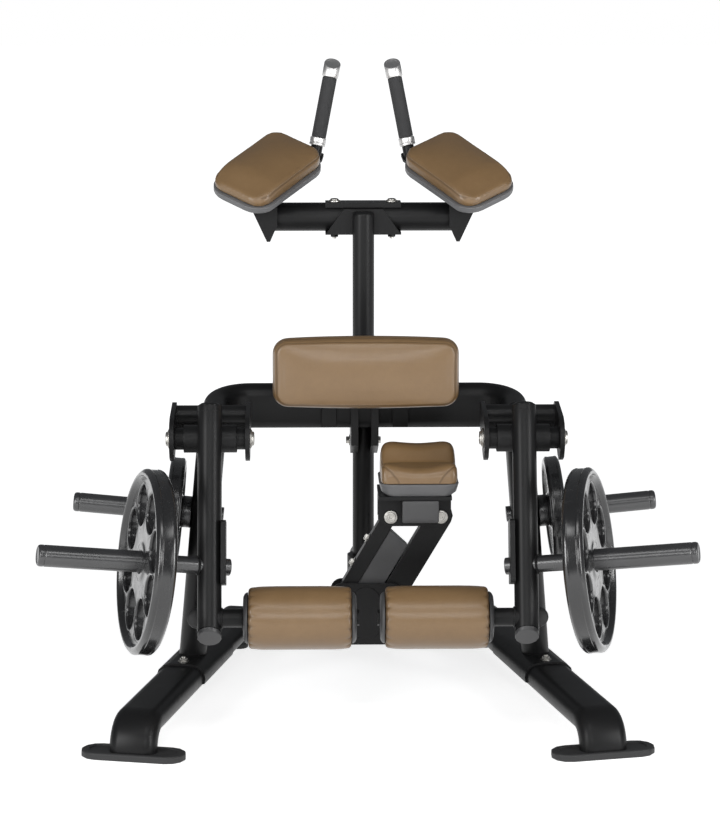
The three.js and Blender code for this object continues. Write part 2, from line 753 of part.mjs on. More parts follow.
function horn({ innerReach, rootRadius, face, collar, collarRadius, sleeveRadius, tip, edge }) {
  return turned([
    [0, -innerReach],
    [rootRadius, -innerReach],
    [rootRadius, face - collar],
    [collarRadius, face - collar],
    [collarRadius, face],
    [sleeveRadius, face],
    [sleeveRadius, tip - edge],
    [sleeveRadius - edge, tip],
    [0, tip],
  ]);
}

const storeFace = upright.width / 2 + fit.gap + storeSleeve.collar;
const storeBody = horn({
  innerReach: storeHorn.innerReach,
  rootRadius: storeHorn.rootRadius,
  face: storeFace,
  collar: storeSleeve.collar,
  collarRadius: storeSleeve.collarRadius,
  sleeveRadius: storeSleeve.radius,
  tip: storeHorn.tip,
  edge: storeSleeve.edge,
});

// The upright with a clearance all round, less the channel that the horn's root runs in.
const uprightGrown = cut(moved(
  plate(
    ovalShape(upright.width + 2 * fit.gap, upright.depth + 2 * fit.gap), 1.2 * uprightUp.length(),
  ).translate(0, 0, -rail.height / 2),
  uprightFrame,
), storeHole);
pair(frame, 'storage_horn', cut(storeBody, moved(
  uprightGrown, storeFrame.clone().invert(),
)), blackPaint, storeFrame);

const workOut = vector(
  -Math.cos(workHorn.yaw) * Math.cos(workHorn.rise),
  -Math.sin(workHorn.yaw) * Math.cos(workHorn.rise),
  Math.sin(workHorn.rise),
);
const workOrigin = armPoint(workHorn.along);
const workFrame = frameAlong(workOrigin, workOut, upZ);
const arms = new THREE.Group();
const workBody = horn({
  innerReach: workHorn.innerReach,
  rootRadius: workHorn.rootRadius,
  face: bigPlate.face,
  collar: workSleeve.collar,
  collarRadius: workSleeve.collarRadius,
  sleeveRadius: workSleeve.radius,
  tip: workHorn.tip,
  edge: workSleeve.edge,
});
pair(arms, 'working_horn', workBody, blackPaint, workFrame);

// Weight plates: a rolled rim, a thinner web and a hub that runs on the sleeve.
function weightPlate({ radius, thickness, rim, web }, bore) {
  const [half, flat] = [thickness / 2, web / 2];
  const hub = bore + plateHub.wall;
  return turned([
    [bore, -half],
    [hub, -half],
    [hub + plateHub.edge, -flat],
    [radius - rim - plateHub.edge, -flat],
    [radius - rim, -half],
    [radius - plateHub.edge, -half],
    [radius, -half + plateHub.edge],
    [radius, half - plateHub.edge],
    [radius - plateHub.edge, half],
    [radius - rim, half],
    [radius - rim - plateHub.edge, flat],
    [hub + plateHub.edge, flat],
    [hub, half],
    [bore, half],
    [bore, -half],
  ], facets.plate).translate(0, 0, half);
}

const bigHoles = Array.from({ length: bigPlate.holes }, (unused, i) => {
  const angle = (i + 0.5) / bigPlate.holes * 2 * Math.PI;
  return rod(bigPlate.holeRadius, -bigPlate.thickness, 2 * bigPlate.thickness, facets.small)
    .translate(bigPlate.holeCircle * Math.cos(angle), bigPlate.holeCircle * Math.sin(angle), 0);
});
const bigBody = cut(weightPlate(bigPlate, bore(workSleeve.radius)), ...bigHoles);
const bigFrame = workFrame.clone()
  .multiply(new THREE.Matrix4().makeTranslation(0, 0, bigPlate.face + fit.gap));
pair(arms, 'working_plate', bigBody, plateRubber, bigFrame);

const smallFrame = storeFrame.clone()
  .multiply(new THREE.Matrix4().makeTranslation(0, 0, storeFace + fit.gap));
const smallBody = weightPlate(smallPlate, bore(storeSleeve.radius));
pair(frame, 'storage_plate', smallBody, plateRubber, smallFrame);

// Swing arm.

const armTop = arm.above + arm.dome;
const armTube = moved(turned([
  [0, -arm.below - 2 * arm.radius],
  [arm.radius, -arm.below - 2 * arm.radius],
  [arm.radius, arm.above],
  [arm.radius * Math.SQRT1_2, arm.above + arm.dome * Math.SQRT1_2],
  [0, armTop],
]), armFrame);
const slashOrigin = vector(0, arm.radius, -arm.below);
const slashFrame = armFrame.clone().multiply(frameAlong(
  slashOrigin, vector(0, -Math.sin(arm.slash), -Math.cos(arm.slash)), upX,
));
const below = (from, to) => moved(block(
  -fit.overrun, fit.overrun, -fit.overrun, fit.overrun, from, to,
), slashFrame);
const hubHalf = pivot.hubLength / 2;
const hubOuter = cheek.outerX - cheek.thickness - fit.gap;
const hubInner = cheek.innerX + cheek.thickness + fit.gap;
const rollerAt = armPoint(roller.along);
const rollerShaft = join(
  rodX(
    roller.shaftRadius, -pivot.centreX, -roller.outerX - disc.thickness - fit.gap,
    rollerAt.y, rollerAt.z,
  ),
  rodX(
    roller.axleRadius, -pivot.centreX, -roller.innerX + disc.thickness + fit.gap + rollerNut.thickness,
    rollerAt.y, rollerAt.z, facets.small,
  ),
  rodX(
    rollerNut.radius, -roller.innerX + disc.thickness + fit.gap,
    -roller.innerX + disc.thickness + fit.gap + rollerNut.thickness, rollerAt.y, rollerAt.z, facets.small,
  ),
);
const sidePlate = moved(at(
  plate(softShape(armPlate.width, armPlate.height, armPlate.width / 8), armPlate.thickness)
    .rotateX(Math.PI / 2)
    .rotateZ(Math.PI / 2),
  armPlate.reach, 0, -workHorn.along + armPlate.rise,
), armFrame);
const workHole = moved(rod(bore(workHorn.rootRadius), -fit.overrun / 4, fit.overrun / 4), workFrame);
const armBody = cut(join(
  armTube,
  rodX(pivot.hubRadius, -pivot.centreX - hubHalf, -pivot.centreX + hubHalf, 0, pivot.z),
  rodX(spacer.radius, -hubOuter, -hubInner, 0, pivot.z),
  rollerShaft,
  sidePlate,
), below(0, fit.overrun), shaftHole, workHole);
pair(arms, 'swing_arm', armBody, blackPaint);

const capBody = common(
  moved(rod(arm.radius, -arm.below - 2 * arm.radius, 0), armFrame),
  below(fit.gap, fit.gap + armCap.thickness),
);
pair(arms, 'arm_cap', capBody, greyPlastic);

// Roller: a core tube with two crowned discs, inside a foam sleeve.
const rollerFrame = frameAlong(
  vector(-roller.outerX, rollerAt.y, rollerAt.z), upX, upZ,
);
const rollerLength = roller.outerX - roller.innerX;
const axleBore = bore(roller.axleRadius, facets.small);
const coreBody = turned([
  [axleBore, -disc.thickness],
  [disc.radius - disc.crown, -disc.thickness],
  [disc.radius, -fit.gap - disc.crown],
  [disc.radius, -fit.gap],
  [disc.tubeRadius, -fit.gap],
  [disc.tubeRadius, rollerLength + fit.gap],
  [disc.radius, rollerLength + fit.gap],
  [disc.radius, rollerLength + fit.gap + disc.crown],
  [disc.radius - disc.crown, rollerLength + disc.thickness],
  [axleBore, rollerLength + disc.thickness],
  [axleBore, -disc.thickness],
]);
pair(arms, 'roller_core', coreBody, greyPlastic, rollerFrame);

const padBore = bore(disc.tubeRadius);
const padShares = [[0.6, 0], [0.2, 0.12], [0, 0.5]];
const padEndLeft = padShares.map(([inward, out]) => [
  roller.padRadius - padEnd.crown - inward * padEnd.edge, out * padEnd.edge,
]);
const padEndRight = padEndLeft.slice().reverse().map(([r, z]) => [r, rollerLength - z]);
const padBody = turned([
  [padBore, padEnd.lip],
  [(padBore + roller.padRadius) / 2, 0],
  ...padEndLeft,
  [roller.padRadius - padEnd.crown / 2, rollerLength / 8],
  [roller.padRadius, rollerLength / 3],
  [roller.padRadius, rollerLength * 2 / 3],
  [roller.padRadius - padEnd.crown / 2, rollerLength * 7 / 8],
  ...padEndRight,
  [(padBore + roller.padRadius) / 2, rollerLength],
  [padBore, rollerLength - padEnd.lip],
  [padBore, padEnd.lip],
]);
pair(arms, 'roller_pad', padBody, upholstery, rollerFrame);

// Thigh rest.

const thighBack = thigh.y + thigh.thickness;
const padFrame = frameOf(upX, upZ, upY.clone().negate(), vector(0, thighBack, thigh.z));
const thighGroup = new THREE.Group();
named(thighGroup, 'thigh_pad', cushion(thigh), upholstery, padFrame);

const boardShape = softShape(
  thigh.width - 2 * board.margin, thigh.height - 2 * board.margin, thigh.corner - board.margin,
);
const boardPlate = moved(
  plate(boardShape, board.thickness),
  frameOf(upX, upZ, upY.clone().negate(), vector(0, thighBack + fit.gap + board.thickness, thigh.z)),
);
const strapBack = -bow.thickness / 2 - fit.gap;
const boardStraps = [left, 1].flatMap((side) => {
  const [x0, x1] = [side * board.strapX - board.strapWidth / 2, side * board.strapX + board.strapWidth / 2];
  const strap = moved(block(
    x0, x1, strapBack - board.strap, strapBack, -board.strapLow, bow.height / 2,
  ), bowFrame);
  const topZ = bow.z + bow.height / 2;
  const reach = block(
    x0, x1, thighBack + fit.gap + board.thickness / 2, bow.y - bow.thickness / 2 - board.strap,
    topZ - board.arm, topZ,
  );
  return [strap, reach];
});
const boardBody = join(boardPlate, ...boardStraps);
named(thighGroup, 'thigh_board', boardBody, blackPaint);

// Knee rest.

const knee = new THREE.Group();
const lean = vector(Math.sin(link.lean), 0, Math.cos(link.lean));
const pivotX = [-linkage.lowX, -linkage.lowX + linkage.spread];
const lowPivot = pivotX.map((x) => vector(x, 0, link.lowZ));
const highPivot = lowPivot.map((point) => point.clone().addScaledVector(lean, link.length));
const linkFront = link.y - link.depth / 2;
const linkBack = link.y + link.depth / 2;
const linkSide = vector(lean.z, 0, -lean.x);

// Frame of a link: x across it, y up along it, z towards the rollers, on the given pivot.
const linkFrame = (point, y) => frameOf(linkSide, lean, upY.clone().negate(), point.clone().setY(y));

function linkBody(width, point) {
  const half = width / 2;
  const shape = new THREE.Shape();
  shape.absarc(0, link.length, half, 0, Math.PI, false);
  shape.absarc(0, 0, half, Math.PI, 2 * Math.PI, false);
  const hole = rod(bore(pin.radius, facets.small), -link.depth, 2 * link.depth, facets.small);
  const body = cut(plate(shape, link.depth), hole, at(hole, 0, link.length, 0));
  return moved(body, linkFrame(point, linkBack));
}

named(knee, 'knee_link_left', linkBody(link.leftWidth, lowPivot[0]), blackPaint);
named(knee, 'knee_link_right', linkBody(link.rightWidth, lowPivot[1]), blackPaint);

// The stop block fills the space between the links and closes on the right link at both ends.
const openWidth = linkage.spread * Math.cos(link.lean) - (link.leftWidth + link.rightWidth) / 2;
const stopInner = link.leftWidth / 2 + fit.gap;
const stopOuter = link.leftWidth / 2 + openWidth - linkage.clearance;
const stopTop = link.length - stopBlock.high + link.leftWidth / 2;
const stopShape = polygon([
  [stopInner, stopBlock.low],
  [stopOuter, stopBlock.low],
  [stopOuter, stopTop - stopBlock.drop],
  [stopInner, stopTop],
]);
const stopMargin = (link.depth - stopBlock.depth) / 2;
named(
  knee, 'knee_stop_block',
  moved(plate(stopShape, stopBlock.depth), linkFrame(lowPivot[0], linkBack - stopMargin)),
  greyPlastic,
);

const pinHole = (point) => rodY(
  bore(pin.radius, facets.small), -fit.overrun, fit.overrun, point.x, point.z, facets.small,
);
const clevisShape = new THREE.Shape();
clevisShape.moveTo(-clevis.halfWidth, clevis.low);
clevisShape.lineTo(clevis.halfWidth, clevis.low);
clevisShape.absarc(
  clevis.halfWidth - clevis.corner, clevis.top - clevis.corner, clevis.corner, 0, Math.PI / 2,
);
clevisShape.absarc(
  -clevis.halfWidth + clevis.corner, clevis.top - clevis.corner, clevis.corner, Math.PI / 2, Math.PI,
);
const clevisPlate = plate(clevisShape, clevis.plate);
const noseOval = at(plate(ovalShape(nose.width, nose.height), nose.thickness), 0, nose.z, 0);
const kneeBase = cut(join(
  facingY(clevisPlate, clevisFront + clevis.plate),
  facingY(clevisPlate, clevisBack),
  block(
    -clevis.halfWidth, clevis.halfWidth, clevisFront, clevisBack, clevis.low, clevis.low + clevis.floor,
  ),
  facingY(noseOval, clevisFront + nose.thickness / 2),
), ...lowPivot.map(pinHole));
named(knee, 'knee_base', kneeBase, blackPaint);

// Carriage: two cheeks and a deck, with the square stub in front.
const carriageShape = polygon([
  [carriage.leftX, carriage.lowZ + carriage.chamfer],
  [carriage.leftX + carriage.chamfer, carriage.lowZ],
  [carriage.rightX - carriage.chamfer, carriage.lowZ],
  [carriage.rightX, carriage.lowZ + carriage.chamfer],
  [carriage.rightX, carriage.topZ],
  [carriage.leftX, carriage.topZ],
]);
const carriageCheek = plate(carriageShape, clevis.plate);
const deckRear = kneeTray.rearY - kneeTray.taper;
const carriageBody = cut(join(
  facingY(carriageCheek, clevisFront + clevis.plate),
  facingY(carriageCheek, clevisBack),
  block(
    carriage.leftX, carriage.rightX, stub.frontY, deckRear, carriage.topZ - carriage.deck, carriage.topZ,
  ),
  block(
    stub.leftX, stub.rightX, stub.frontY, clevisFront + clevis.plate / 2,
    carriage.stubLow, carriage.stubLow + stub.height,
  ),
), ...highPivot.map(pinHole), ...highPivot.map((point) => rodY(
  bore(pin.headRadius, facets.small), clevisFront - pin.head - 2 * fit.gap, clevisFront,
  point.x, point.z, facets.small,
)));
named(knee, 'knee_carriage', carriageBody, blackPaint);

const pinFront = clevisFront - fit.gap;
const pinBack = clevisBack + fit.gap;
const pinBody = join(
  rodY(pin.radius, pinFront - pin.head / 2, pinBack + pin.head / 2, 0, 0, facets.small),
  rodY(pin.headRadius, pinFront - pin.head, pinFront, 0, 0, facets.small),
  rodY(pin.headRadius, pinBack, pinBack + pin.head, 0, 0, facets.small),
);
[['lower', lowPivot], ['upper', highPivot]].forEach(([level, points]) => {
  ['left', 'right'].forEach((side, i) => {
    const spot = new THREE.Matrix4().setPosition(points[i]);
    named(knee, `knee_pin_${level}_${side}`, pinBody, zinc, spot);
  });
});

// Tray and pad, drawn as rings round their width from the front to the back.
const trayWidth = kneeTray.rightX - kneeTray.leftX;
const trayDepth = kneeTray.rearY - kneeTray.frontY;
const trayFrame = new THREE.Matrix4().setPosition(
  (kneeTray.leftX + kneeTray.rightX) / 2, (kneeTray.frontY + kneeTray.rearY) / 2,
  carriage.topZ + fit.gap,
);
const trayRing = (inset, z) => softShape(
  trayWidth - 2 * inset, trayDepth - 2 * inset, kneeTray.taper + kneePad.corner - inset,
).getPoints(facets.edge).slice(0, -1).map((point) => vector(point.x, point.y, z));
const kneeTrayBody = ringSkin([
  trayRing(kneeTray.taper, 0),
  trayRing(kneeTray.taper / 3, kneeTray.thickness / 3),
  trayRing(0, kneeTray.thickness),
]);
named(knee, 'knee_tray', kneeTrayBody, greyPlastic, trayFrame);

// Height of the pad's top along its depth, as shares of depth and of lip, dip and hump.
const padTopShares = [
  [0, 0.42, 0, 0], [0.02, 0.62, 0, 0], [0.06, 0.84, 0, 0], [0.12, 0.97, 0, 0], [0.2, 1, 0, 0],
  [0.3, 0.55, 0.4, 0], [0.38, 0.1, 0.9, 0], [0.44, 0, 1, 0], [0.52, 0, 0.65, 0.32],
  [0.62, 0, 0.2, 0.8], [0.74, 0, 0, 1], [0.84, 0, 0, 0.97], [0.92, 0, 0, 0.84], [0.98, 0, 0, 0.62],
  [1, 0, 0, 0.42],
];
const padInsetShares = [0.7, 0.32, 0.12, 0, 0, 0, 0.02, 0.03, 0.02, 0, 0, 0.06, 0.2, 0.42, 0.75];
const padWidth = trayWidth - 2 * kneePad.inset;
const padDepth = trayDepth - 2 * kneePad.inset;
const kneePadRings = padTopShares.map(([run, lip, dip, hump], i) => {
  const top = lip * kneePad.lip + dip * kneePad.dip + hump * kneePad.hump;
  const sag = lip * kneePad.lipSag + hump * kneePad.humpSag;
  const half = padWidth / 2 - padInsetShares[i] * kneePad.corner;
  const y = (run - 0.5) * padDepth;
  const sideShares = [
    [-0.94, 0], [-1, 0.12], [-1, 0.42], [-0.985, 0.66], [-0.94, 0.83], [-0.85, 0.94], [-0.68, 0.99],
    [-0.4, 0.985], [0, 0.97], [0.4, 0.985], [0.68, 0.99], [0.85, 0.94], [0.94, 0.83], [0.985, 0.66],
    [1, 0.42], [1, 0.12], [0.94, 0], [0.5, 0], [0, 0], [-0.5, 0],
  ];
  return sideShares.map(([across, up]) => vector(
    across * half, y, up * top * (1 - sag * (1 - across * across)),
  ));
});
const kneePadFrame = trayFrame.clone()
  .multiply(new THREE.Matrix4().makeTranslation(0, 0, kneeTray.thickness + fit.gap));
named(knee, 'knee_pad', ringSkin(kneePadRings), upholstery, kneePadFrame);

// Elbow rests.

const across = elbowAxes.across.clone().normalize();
const lengthwise = elbowAxes.along.clone().addScaledVector(
  across, -elbowAxes.along.dot(across),
).normalize();
const outward = across.clone().cross(lengthwise);
const elbowZ = bar.z + elbow.rise;
const elbowCentre = vector(-elbow.x, elbow.y, elbowZ);
const elbowFrame = frameOf(across, lengthwise, outward, elbowCentre);
const elbowPoint = (s, l, n) => vector(s, l, n).applyMatrix4(elbowFrame);

const elbowPadFrame = elbowFrame.clone()
  .multiply(new THREE.Matrix4().makeTranslation(0, 0, fit.gap));
pair(elbowGroup, 'elbow_pad', cushion({
  width: elbow.width,
  height: elbow.length,
  corner: elbow.corner,
  thickness: elbow.thickness,
  crown: elbow.crown,
  edge: elbow.edge,
}), upholstery, elbowPadFrame);

const elbowRing = (inset, z) => softShape(
  elbow.width + 2 * tray.margin - 2 * inset, elbow.length + 2 * tray.margin - 2 * inset,
  elbow.corner + tray.margin - inset,
).getPoints(facets.edge).slice(0, -1).map((point) => vector(point.x, point.y, z));
const elbowTray = ringSkin([
  elbowRing(tray.taper, -tray.thickness),
  elbowRing(tray.taper / 3, -(tray.thickness + tray.lip) / 2),
  elbowRing(0, -tray.lip),
  elbowRing(0, 0),
]);
pair(elbowGroup, 'elbow_tray', elbowTray, greyPlastic, elbowFrame);

const seatTop = -tray.thickness - fit.gap;
const seatPlate = moved(block(
  -seat.width / 2, seat.width / 2, -seat.length / 2, seat.length / 2, seatTop - seat.thickness, seatTop,
), elbowFrame);
const seatArm = moved(plate(polygon([
  [-seat.width / 2, 0],
  [seat.width / 2, 0],
  [handle.side + handleSize.arm / 2, handle.along],
  [handle.side + handleSize.arm / 4, handle.along + handleSize.arm / 2],
  [handle.side - handleSize.arm / 4, handle.along + handleSize.arm / 2],
  [handle.side - handleSize.arm / 2, handle.along],
]), seat.thickness).translate(0, 0, seatTop - seat.thickness), elbowFrame);
const tipZ = bar.z - bar.radius - seat.tipDrop / 2;
const barEnd = bar.length / 2;
const seatCheekShape = polygon([
  [-barEnd - seat.reachOut, elbowZ + seat.reachOut],
  [-barEnd - seat.reachOut, bar.z + bar.radius],
  [-barEnd - 1.5 * seat.tipOut, tipZ],
  [-barEnd - seat.tipOut / 2, tipZ],
  [-barEnd + seat.reachIn, bar.z - bar.radius / 2],
  [-barEnd + seat.reachIn, elbowZ + seat.reachOut],
]);
const seatCheek = plate(seatCheekShape, seat.cheek);
const cheekNear = bar.radius + fit.gap;
const seatCore = block(
  -barEnd - seat.tipOut, -barEnd + seat.reachIn,
  bar.y - cheekNear - seat.cheek, bar.y + cheekNear + seat.cheek,
  bar.z, elbowZ + seat.reachOut,
);
const aboveSeat = moved(block(
  -fit.overrun, fit.overrun, -fit.overrun, fit.overrun, seatTop - seat.thickness / 2, fit.overrun,
), elbowFrame);
const seatLower = cut(join(
  facingY(seatCheek, bar.y - cheekNear),
  facingY(seatCheek, bar.y + cheekNear + seat.cheek),
  seatCore,
), aboveSeat, barGrown);
pair(elbowGroup, 'elbow_bracket', join(seatPlate, seatArm, seatLower), blackPaint);

// Handle: post, collar, core under the grip, and a cap cut on the slant.
const handleBase = elbowPoint(handle.side, handle.along, seatTop);
const handleRise = vector(handle.riseX, handle.riseY, handle.riseZ);
const handleFrame = frameAlong(handleBase, handleRise, upY);
const collarTop = handle.post + handle.collar;
const gripTop = collarTop + handle.grip;
const handleBlank = turned([
  [0, -handle.post],
  [handleSize.post, -handle.post],
  [handleSize.post, handle.post],
  [handleSize.collar, handle.post],
  [handleSize.collar, collarTop],
  [handleSize.core, collarTop],
  [handleSize.core, gripTop],
  [handleSize.cap, gripTop],
  [handleSize.cap, gripTop + handle.cap],
  [0, gripTop + handle.cap],
], facets.small);
const capSlant = frameAlong(
  vector(0, -handleSize.cap, gripTop + handle.cap / 2),
  vector(0, -Math.sin(handleSize.slash), Math.cos(handleSize.slash)), upX,
);
const seatCutter = moved(block(
  -fit.overrun, fit.overrun, -fit.overrun, fit.overrun, -fit.overrun, seatTop + fit.gap,
), handleFrame.clone().invert().multiply(elbowFrame));
const handleBody = cut(
  handleBlank,
  moved(block(-fit.overrun, fit.overrun, -fit.overrun, fit.overrun, 0, fit.overrun), capSlant),
  seatCutter,
);
pair(elbowGroup, 'handle', handleBody, chrome, handleFrame);

const gripInner = bore(handleSize.core, facets.small);
const gripBody = turned([
  [gripInner, collarTop + fit.gap],
  [handleSize.grip - fit.gap, collarTop + fit.gap],
  [handleSize.grip, collarTop + handle.grip / 8],
  [handleSize.grip, gripTop - handle.grip / 8],
  [handleSize.grip - fit.gap, gripTop - fit.gap],
  [gripInner, gripTop - fit.gap],
  [gripInner, collarTop + fit.gap],
], facets.small);
pair(elbowGroup, 'grip', gripBody, foamGrip, handleFrame);

// Whole machine, with its origin at the middle of its footprint.

const machine = new THREE.Group();
machine.add(base, frame, arms, thighGroup, knee, elbowGroup);
machine.updateMatrixWorld(true);
const extent = new THREE.Box3().setFromObject(machine, true);
machine.position.set(0, -(extent.min.y + extent.max.y) / 2, -extent.min.z);
machine.updateMatrixWorld(true);

export default machine;
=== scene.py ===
"""Kneeling hamstring machine: pads, plates, tubes, fittings and finishes over the fixed frame."""
import json
import logging
import math
from dataclasses import dataclass
from enum import Enum
from typing import Any, Optional, Union

import bmesh
import bpy
import numpy as np
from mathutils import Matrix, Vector
from mathutils.bvhtree import BVHTree


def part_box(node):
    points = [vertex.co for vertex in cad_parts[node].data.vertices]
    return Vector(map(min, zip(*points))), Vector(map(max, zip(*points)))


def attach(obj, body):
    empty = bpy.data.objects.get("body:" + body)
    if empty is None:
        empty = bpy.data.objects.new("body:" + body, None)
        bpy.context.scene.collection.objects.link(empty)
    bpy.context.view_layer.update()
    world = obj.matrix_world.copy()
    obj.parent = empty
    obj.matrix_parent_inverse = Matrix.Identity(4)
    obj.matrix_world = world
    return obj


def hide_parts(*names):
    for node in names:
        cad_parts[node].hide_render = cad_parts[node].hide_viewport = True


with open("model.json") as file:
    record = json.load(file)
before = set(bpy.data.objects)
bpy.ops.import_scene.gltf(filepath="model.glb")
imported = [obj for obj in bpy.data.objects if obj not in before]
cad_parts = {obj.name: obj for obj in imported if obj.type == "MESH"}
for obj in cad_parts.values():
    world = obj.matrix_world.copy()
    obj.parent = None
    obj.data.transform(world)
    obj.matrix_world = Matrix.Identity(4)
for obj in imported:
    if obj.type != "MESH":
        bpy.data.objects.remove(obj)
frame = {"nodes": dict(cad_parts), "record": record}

log = logging.getLogger("hamstring_machine")
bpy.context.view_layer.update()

MM = 0.001
SHIFT = -213.0855
FULL = 2 * math.pi
POLE = 0.01
MERGE = 1e-6
ALL_SMOOTH = 180.0
FLAT_EDGE = math.radians(0.6)
ROLLED_EDGE = math.radians(34)
ROLLER_LINE = (-385.29, 320.925)
Colour = tuple[float, float, float]
Triple = tuple[float, float, float]


class Side(Enum):
    """Which half of the machine a piece is on."""

    LEFT = "left"
    RIGHT = "right"

    @property
    def flip(self) -> np.ndarray:
        """Factors that carry a point drawn on the left to this side."""
        return np.array([-1.0 if self is Side.RIGHT else 1.0, 1.0, 1.0])

    def of(self, stem: str) -> str:
        """A name with this side's ending."""
        return f"{stem}_{self.value}"


class Slot(Enum):
    """The record's material slots."""

    PAINT = "black_paint"
    RUBBER = "rubber"
    PLATE = "plate_rubber"
    PLASTIC = "grey_plastic"
    SKIN = "upholstery"
    GRIP = "foam_grip"
    CHROME = "chrome"
    ZINC = "zinc"


# Shader expressions.


class Expr:
    """A shader socket that Python arithmetic turns into Math nodes."""

    def __init__(self, graph: "Graph", socket: bpy.types.NodeSocket) -> None:
        """Wraps one output socket of a graph."""
        self.graph = graph
        self.socket = socket

    def _math(self, operation: str, other: Any = 0.0, swap: bool = False) -> "Expr":
        """Adds one Math node.

        Args:
            operation: the Math node's operation.
            other: the second value, a number or an expression.
            swap: True where the other value comes first.

        Returns:
            The node's result.
        """
        first, second = (other, self) if swap else (self, other)
        return self.graph.node("ShaderNodeMath", {"operation": operation}, {0: first, 1: second})

    def __add__(self, other: Any) -> "Expr":
        """Sum."""
        return self._math("ADD", other)

    __radd__ = __add__

    def __sub__(self, other: Any) -> "Expr":
        """Difference."""
        return self._math("SUBTRACT", other)

    def __rsub__(self, other: Any) -> "Expr":
        """Difference with this value second."""
        return self._math("SUBTRACT", other, swap=True)

    def __mul__(self, other: Any) -> "Expr":
        """Product."""
        return self._math("MULTIPLY", other)

    __rmul__ = __mul__

    def ramp(self, low: float, high: float, to_low: float = 0.0, to_high: float = 1.0) -> "Expr":
        """Smooth step from one range to another."""
        return self.graph.node(
            "ShaderNodeMapRange", {"interpolation_type": "SMOOTHSTEP", "clamp": True},
            {0: self, 1: low, 2: high, 3: to_low, 4: to_high},
        )


class Graph:
    """A material's node tree."""

    def __init__(self, name: str) -> None:
        """Makes an empty material."""
        self.material = bpy.data.materials.new(name)
        self.material.use_nodes = True
        self.tree = self.material.node_tree
        self.tree.nodes.clear()

    def node(self, kind: str, settings: Optional[dict] = None, inputs: Optional[dict] = None,
             output: Union[int, str] = 0) -> Expr:
        """Adds a node, sets it, then fills its sockets.

        Args:
            kind: the node's type.
            settings: attributes set first, with a ramp's stops under "stops".
            inputs: socket name or index to a number, a tuple or an expression.
            output: the socket that the returned expression wraps.

        Returns:
            An expression on the chosen output.
        """
        made = self.tree.nodes.new(kind)
        for key, value in (settings or {}).items():
            if key == "stops":
                for i, (at, colour) in enumerate(value):
                    stops = made.color_ramp.elements
                    stop = stops[i] if i < 2 else stops.new(at)
                    stop.position, stop.color = at, colour
            else:
                setattr(made, key, value)
        for key, value in (inputs or {}).items():
            if isinstance(value, Expr):
                self.tree.links.new(value.socket, made.inputs[key])
            else:
                made.inputs[key].default_value = value
        return Expr(self, made.outputs[output])

    def place(self) -> Expr:
        """Object coordinates."""
        return self.node("ShaderNodeTexCoord", output="Object")

    def noise(self, scale: float, detail: float = 3.0, roughness: float = 0.55,
              stretch: Optional[Triple] = None) -> Expr:
        """Noise on object coordinates, stretched along chosen axes.

        Args:
            scale: cells for each metre.
            detail: octaves.
            roughness: weight of the finer octaves.
            stretch: scale factors on the three axes.

        Returns:
            The noise value, about 0.5 on average.
        """
        where = self.place()
        if stretch:
            where = self.node("ShaderNodeMapping", {}, {"Vector": where, "Scale": stretch})
        return self.node("ShaderNodeTexNoise", {}, {
            "Vector": where, "Scale": scale, "Detail": detail, "Roughness": roughness,
        })

    def cells(self, scale: float, feature: str = "F1") -> Expr:
        """Distance to the nearest cell centre or edge of a Voronoi pattern."""
        return self.node("ShaderNodeTexVoronoi", {"feature": feature}, {
            "Vector": self.place(), "Scale": scale,
        }, output="Distance")

    def mix(self, factor: Any, low: Colour, high: Colour) -> Expr:
        """Mix of two colours."""
        return self.node("ShaderNodeMix", {"data_type": "RGBA"}, {
            0: factor, 6: (*low, 1.0), 7: (*high, 1.0),
        }, output=2)

    def bump(self, height: Any, strength: float, distance: float,
             below: Optional[Expr] = None) -> Expr:
        """Bump node, over another one where given."""
        sockets = {"Height": height, "Strength": strength, "Distance": distance}
        if below:
            sockets["Normal"] = below
        return self.node("ShaderNodeBump", {}, sockets)

    def finish(self, sockets: dict) -> bpy.types.Material:
        """Adds the surface shader and the output.

        Args:
            sockets: the surface shader's socket values.

        Returns:
            The material.
        """
        self.node_out(self.node("ShaderNodeBsdfPrincipled", {}, sockets))
        return self.material

    def node_out(self, shader: Expr) -> None:
        """Links a shader to the material's output."""
        out = self.tree.nodes.new("ShaderNodeOutputMaterial")
        self.tree.links.new(shader.socket, out.inputs["Surface"])


# Finishes.


@dataclass(frozen=True)
class PowderCoat:
    """Satin black powder coat with a fine orange peel and faint handling marks."""

    dark: Colour = (0.0090, 0.0090, 0.0093)
    light: Colour = (0.0130, 0.0130, 0.0134)
    sheen: float = 0.36
    shine: float = 0.20
    name: str = "black_powder_coat"

    def build(self) -> bpy.types.Material:
        """Makes the material."""
        g = Graph(self.name)
        cloud = g.noise(7.0, 4.0)
        peel = g.noise(520.0, 2.0)
        grain = g.noise(2600.0, 1.0)
        marks = g.noise(22.0, 6.0, 0.7, (1.0, 1.0, 0.25)).ramp(0.56, 0.72)
        soft = g.bump(peel, 0.16, 0.0004)
        return g.finish({
            "Base Color": g.mix(cloud * 0.7 + marks * 0.3, self.dark, self.light),
            "Roughness": cloud * 0.14 + marks * 0.08 + (self.sheen - 0.04),
            "Normal": g.bump(grain, 0.10, 0.0001, soft),
            "Specular IOR Level": self.shine,
        })


@dataclass(frozen=True)
class MouldedRubber:
    """Matt dark grey moulded rubber with a speckled skin."""

    dark: Colour = (0.017, 0.017, 0.0175)
    light: Colour = (0.036, 0.036, 0.037)

    def build(self) -> bpy.types.Material:
        """Makes the material."""
        g = Graph("moulded_rubber")
        speckle = g.noise(900.0, 3.0)
        dust = g.noise(30.0, 5.0, 0.6)
        return g.finish({
            "Base Color": g.mix(speckle * 0.5 + dust * 0.5, self.dark, self.light),
            "Roughness": dust * 0.18 + 0.52,
            "Normal": g.bump(speckle, 0.25, 0.0003),
        })


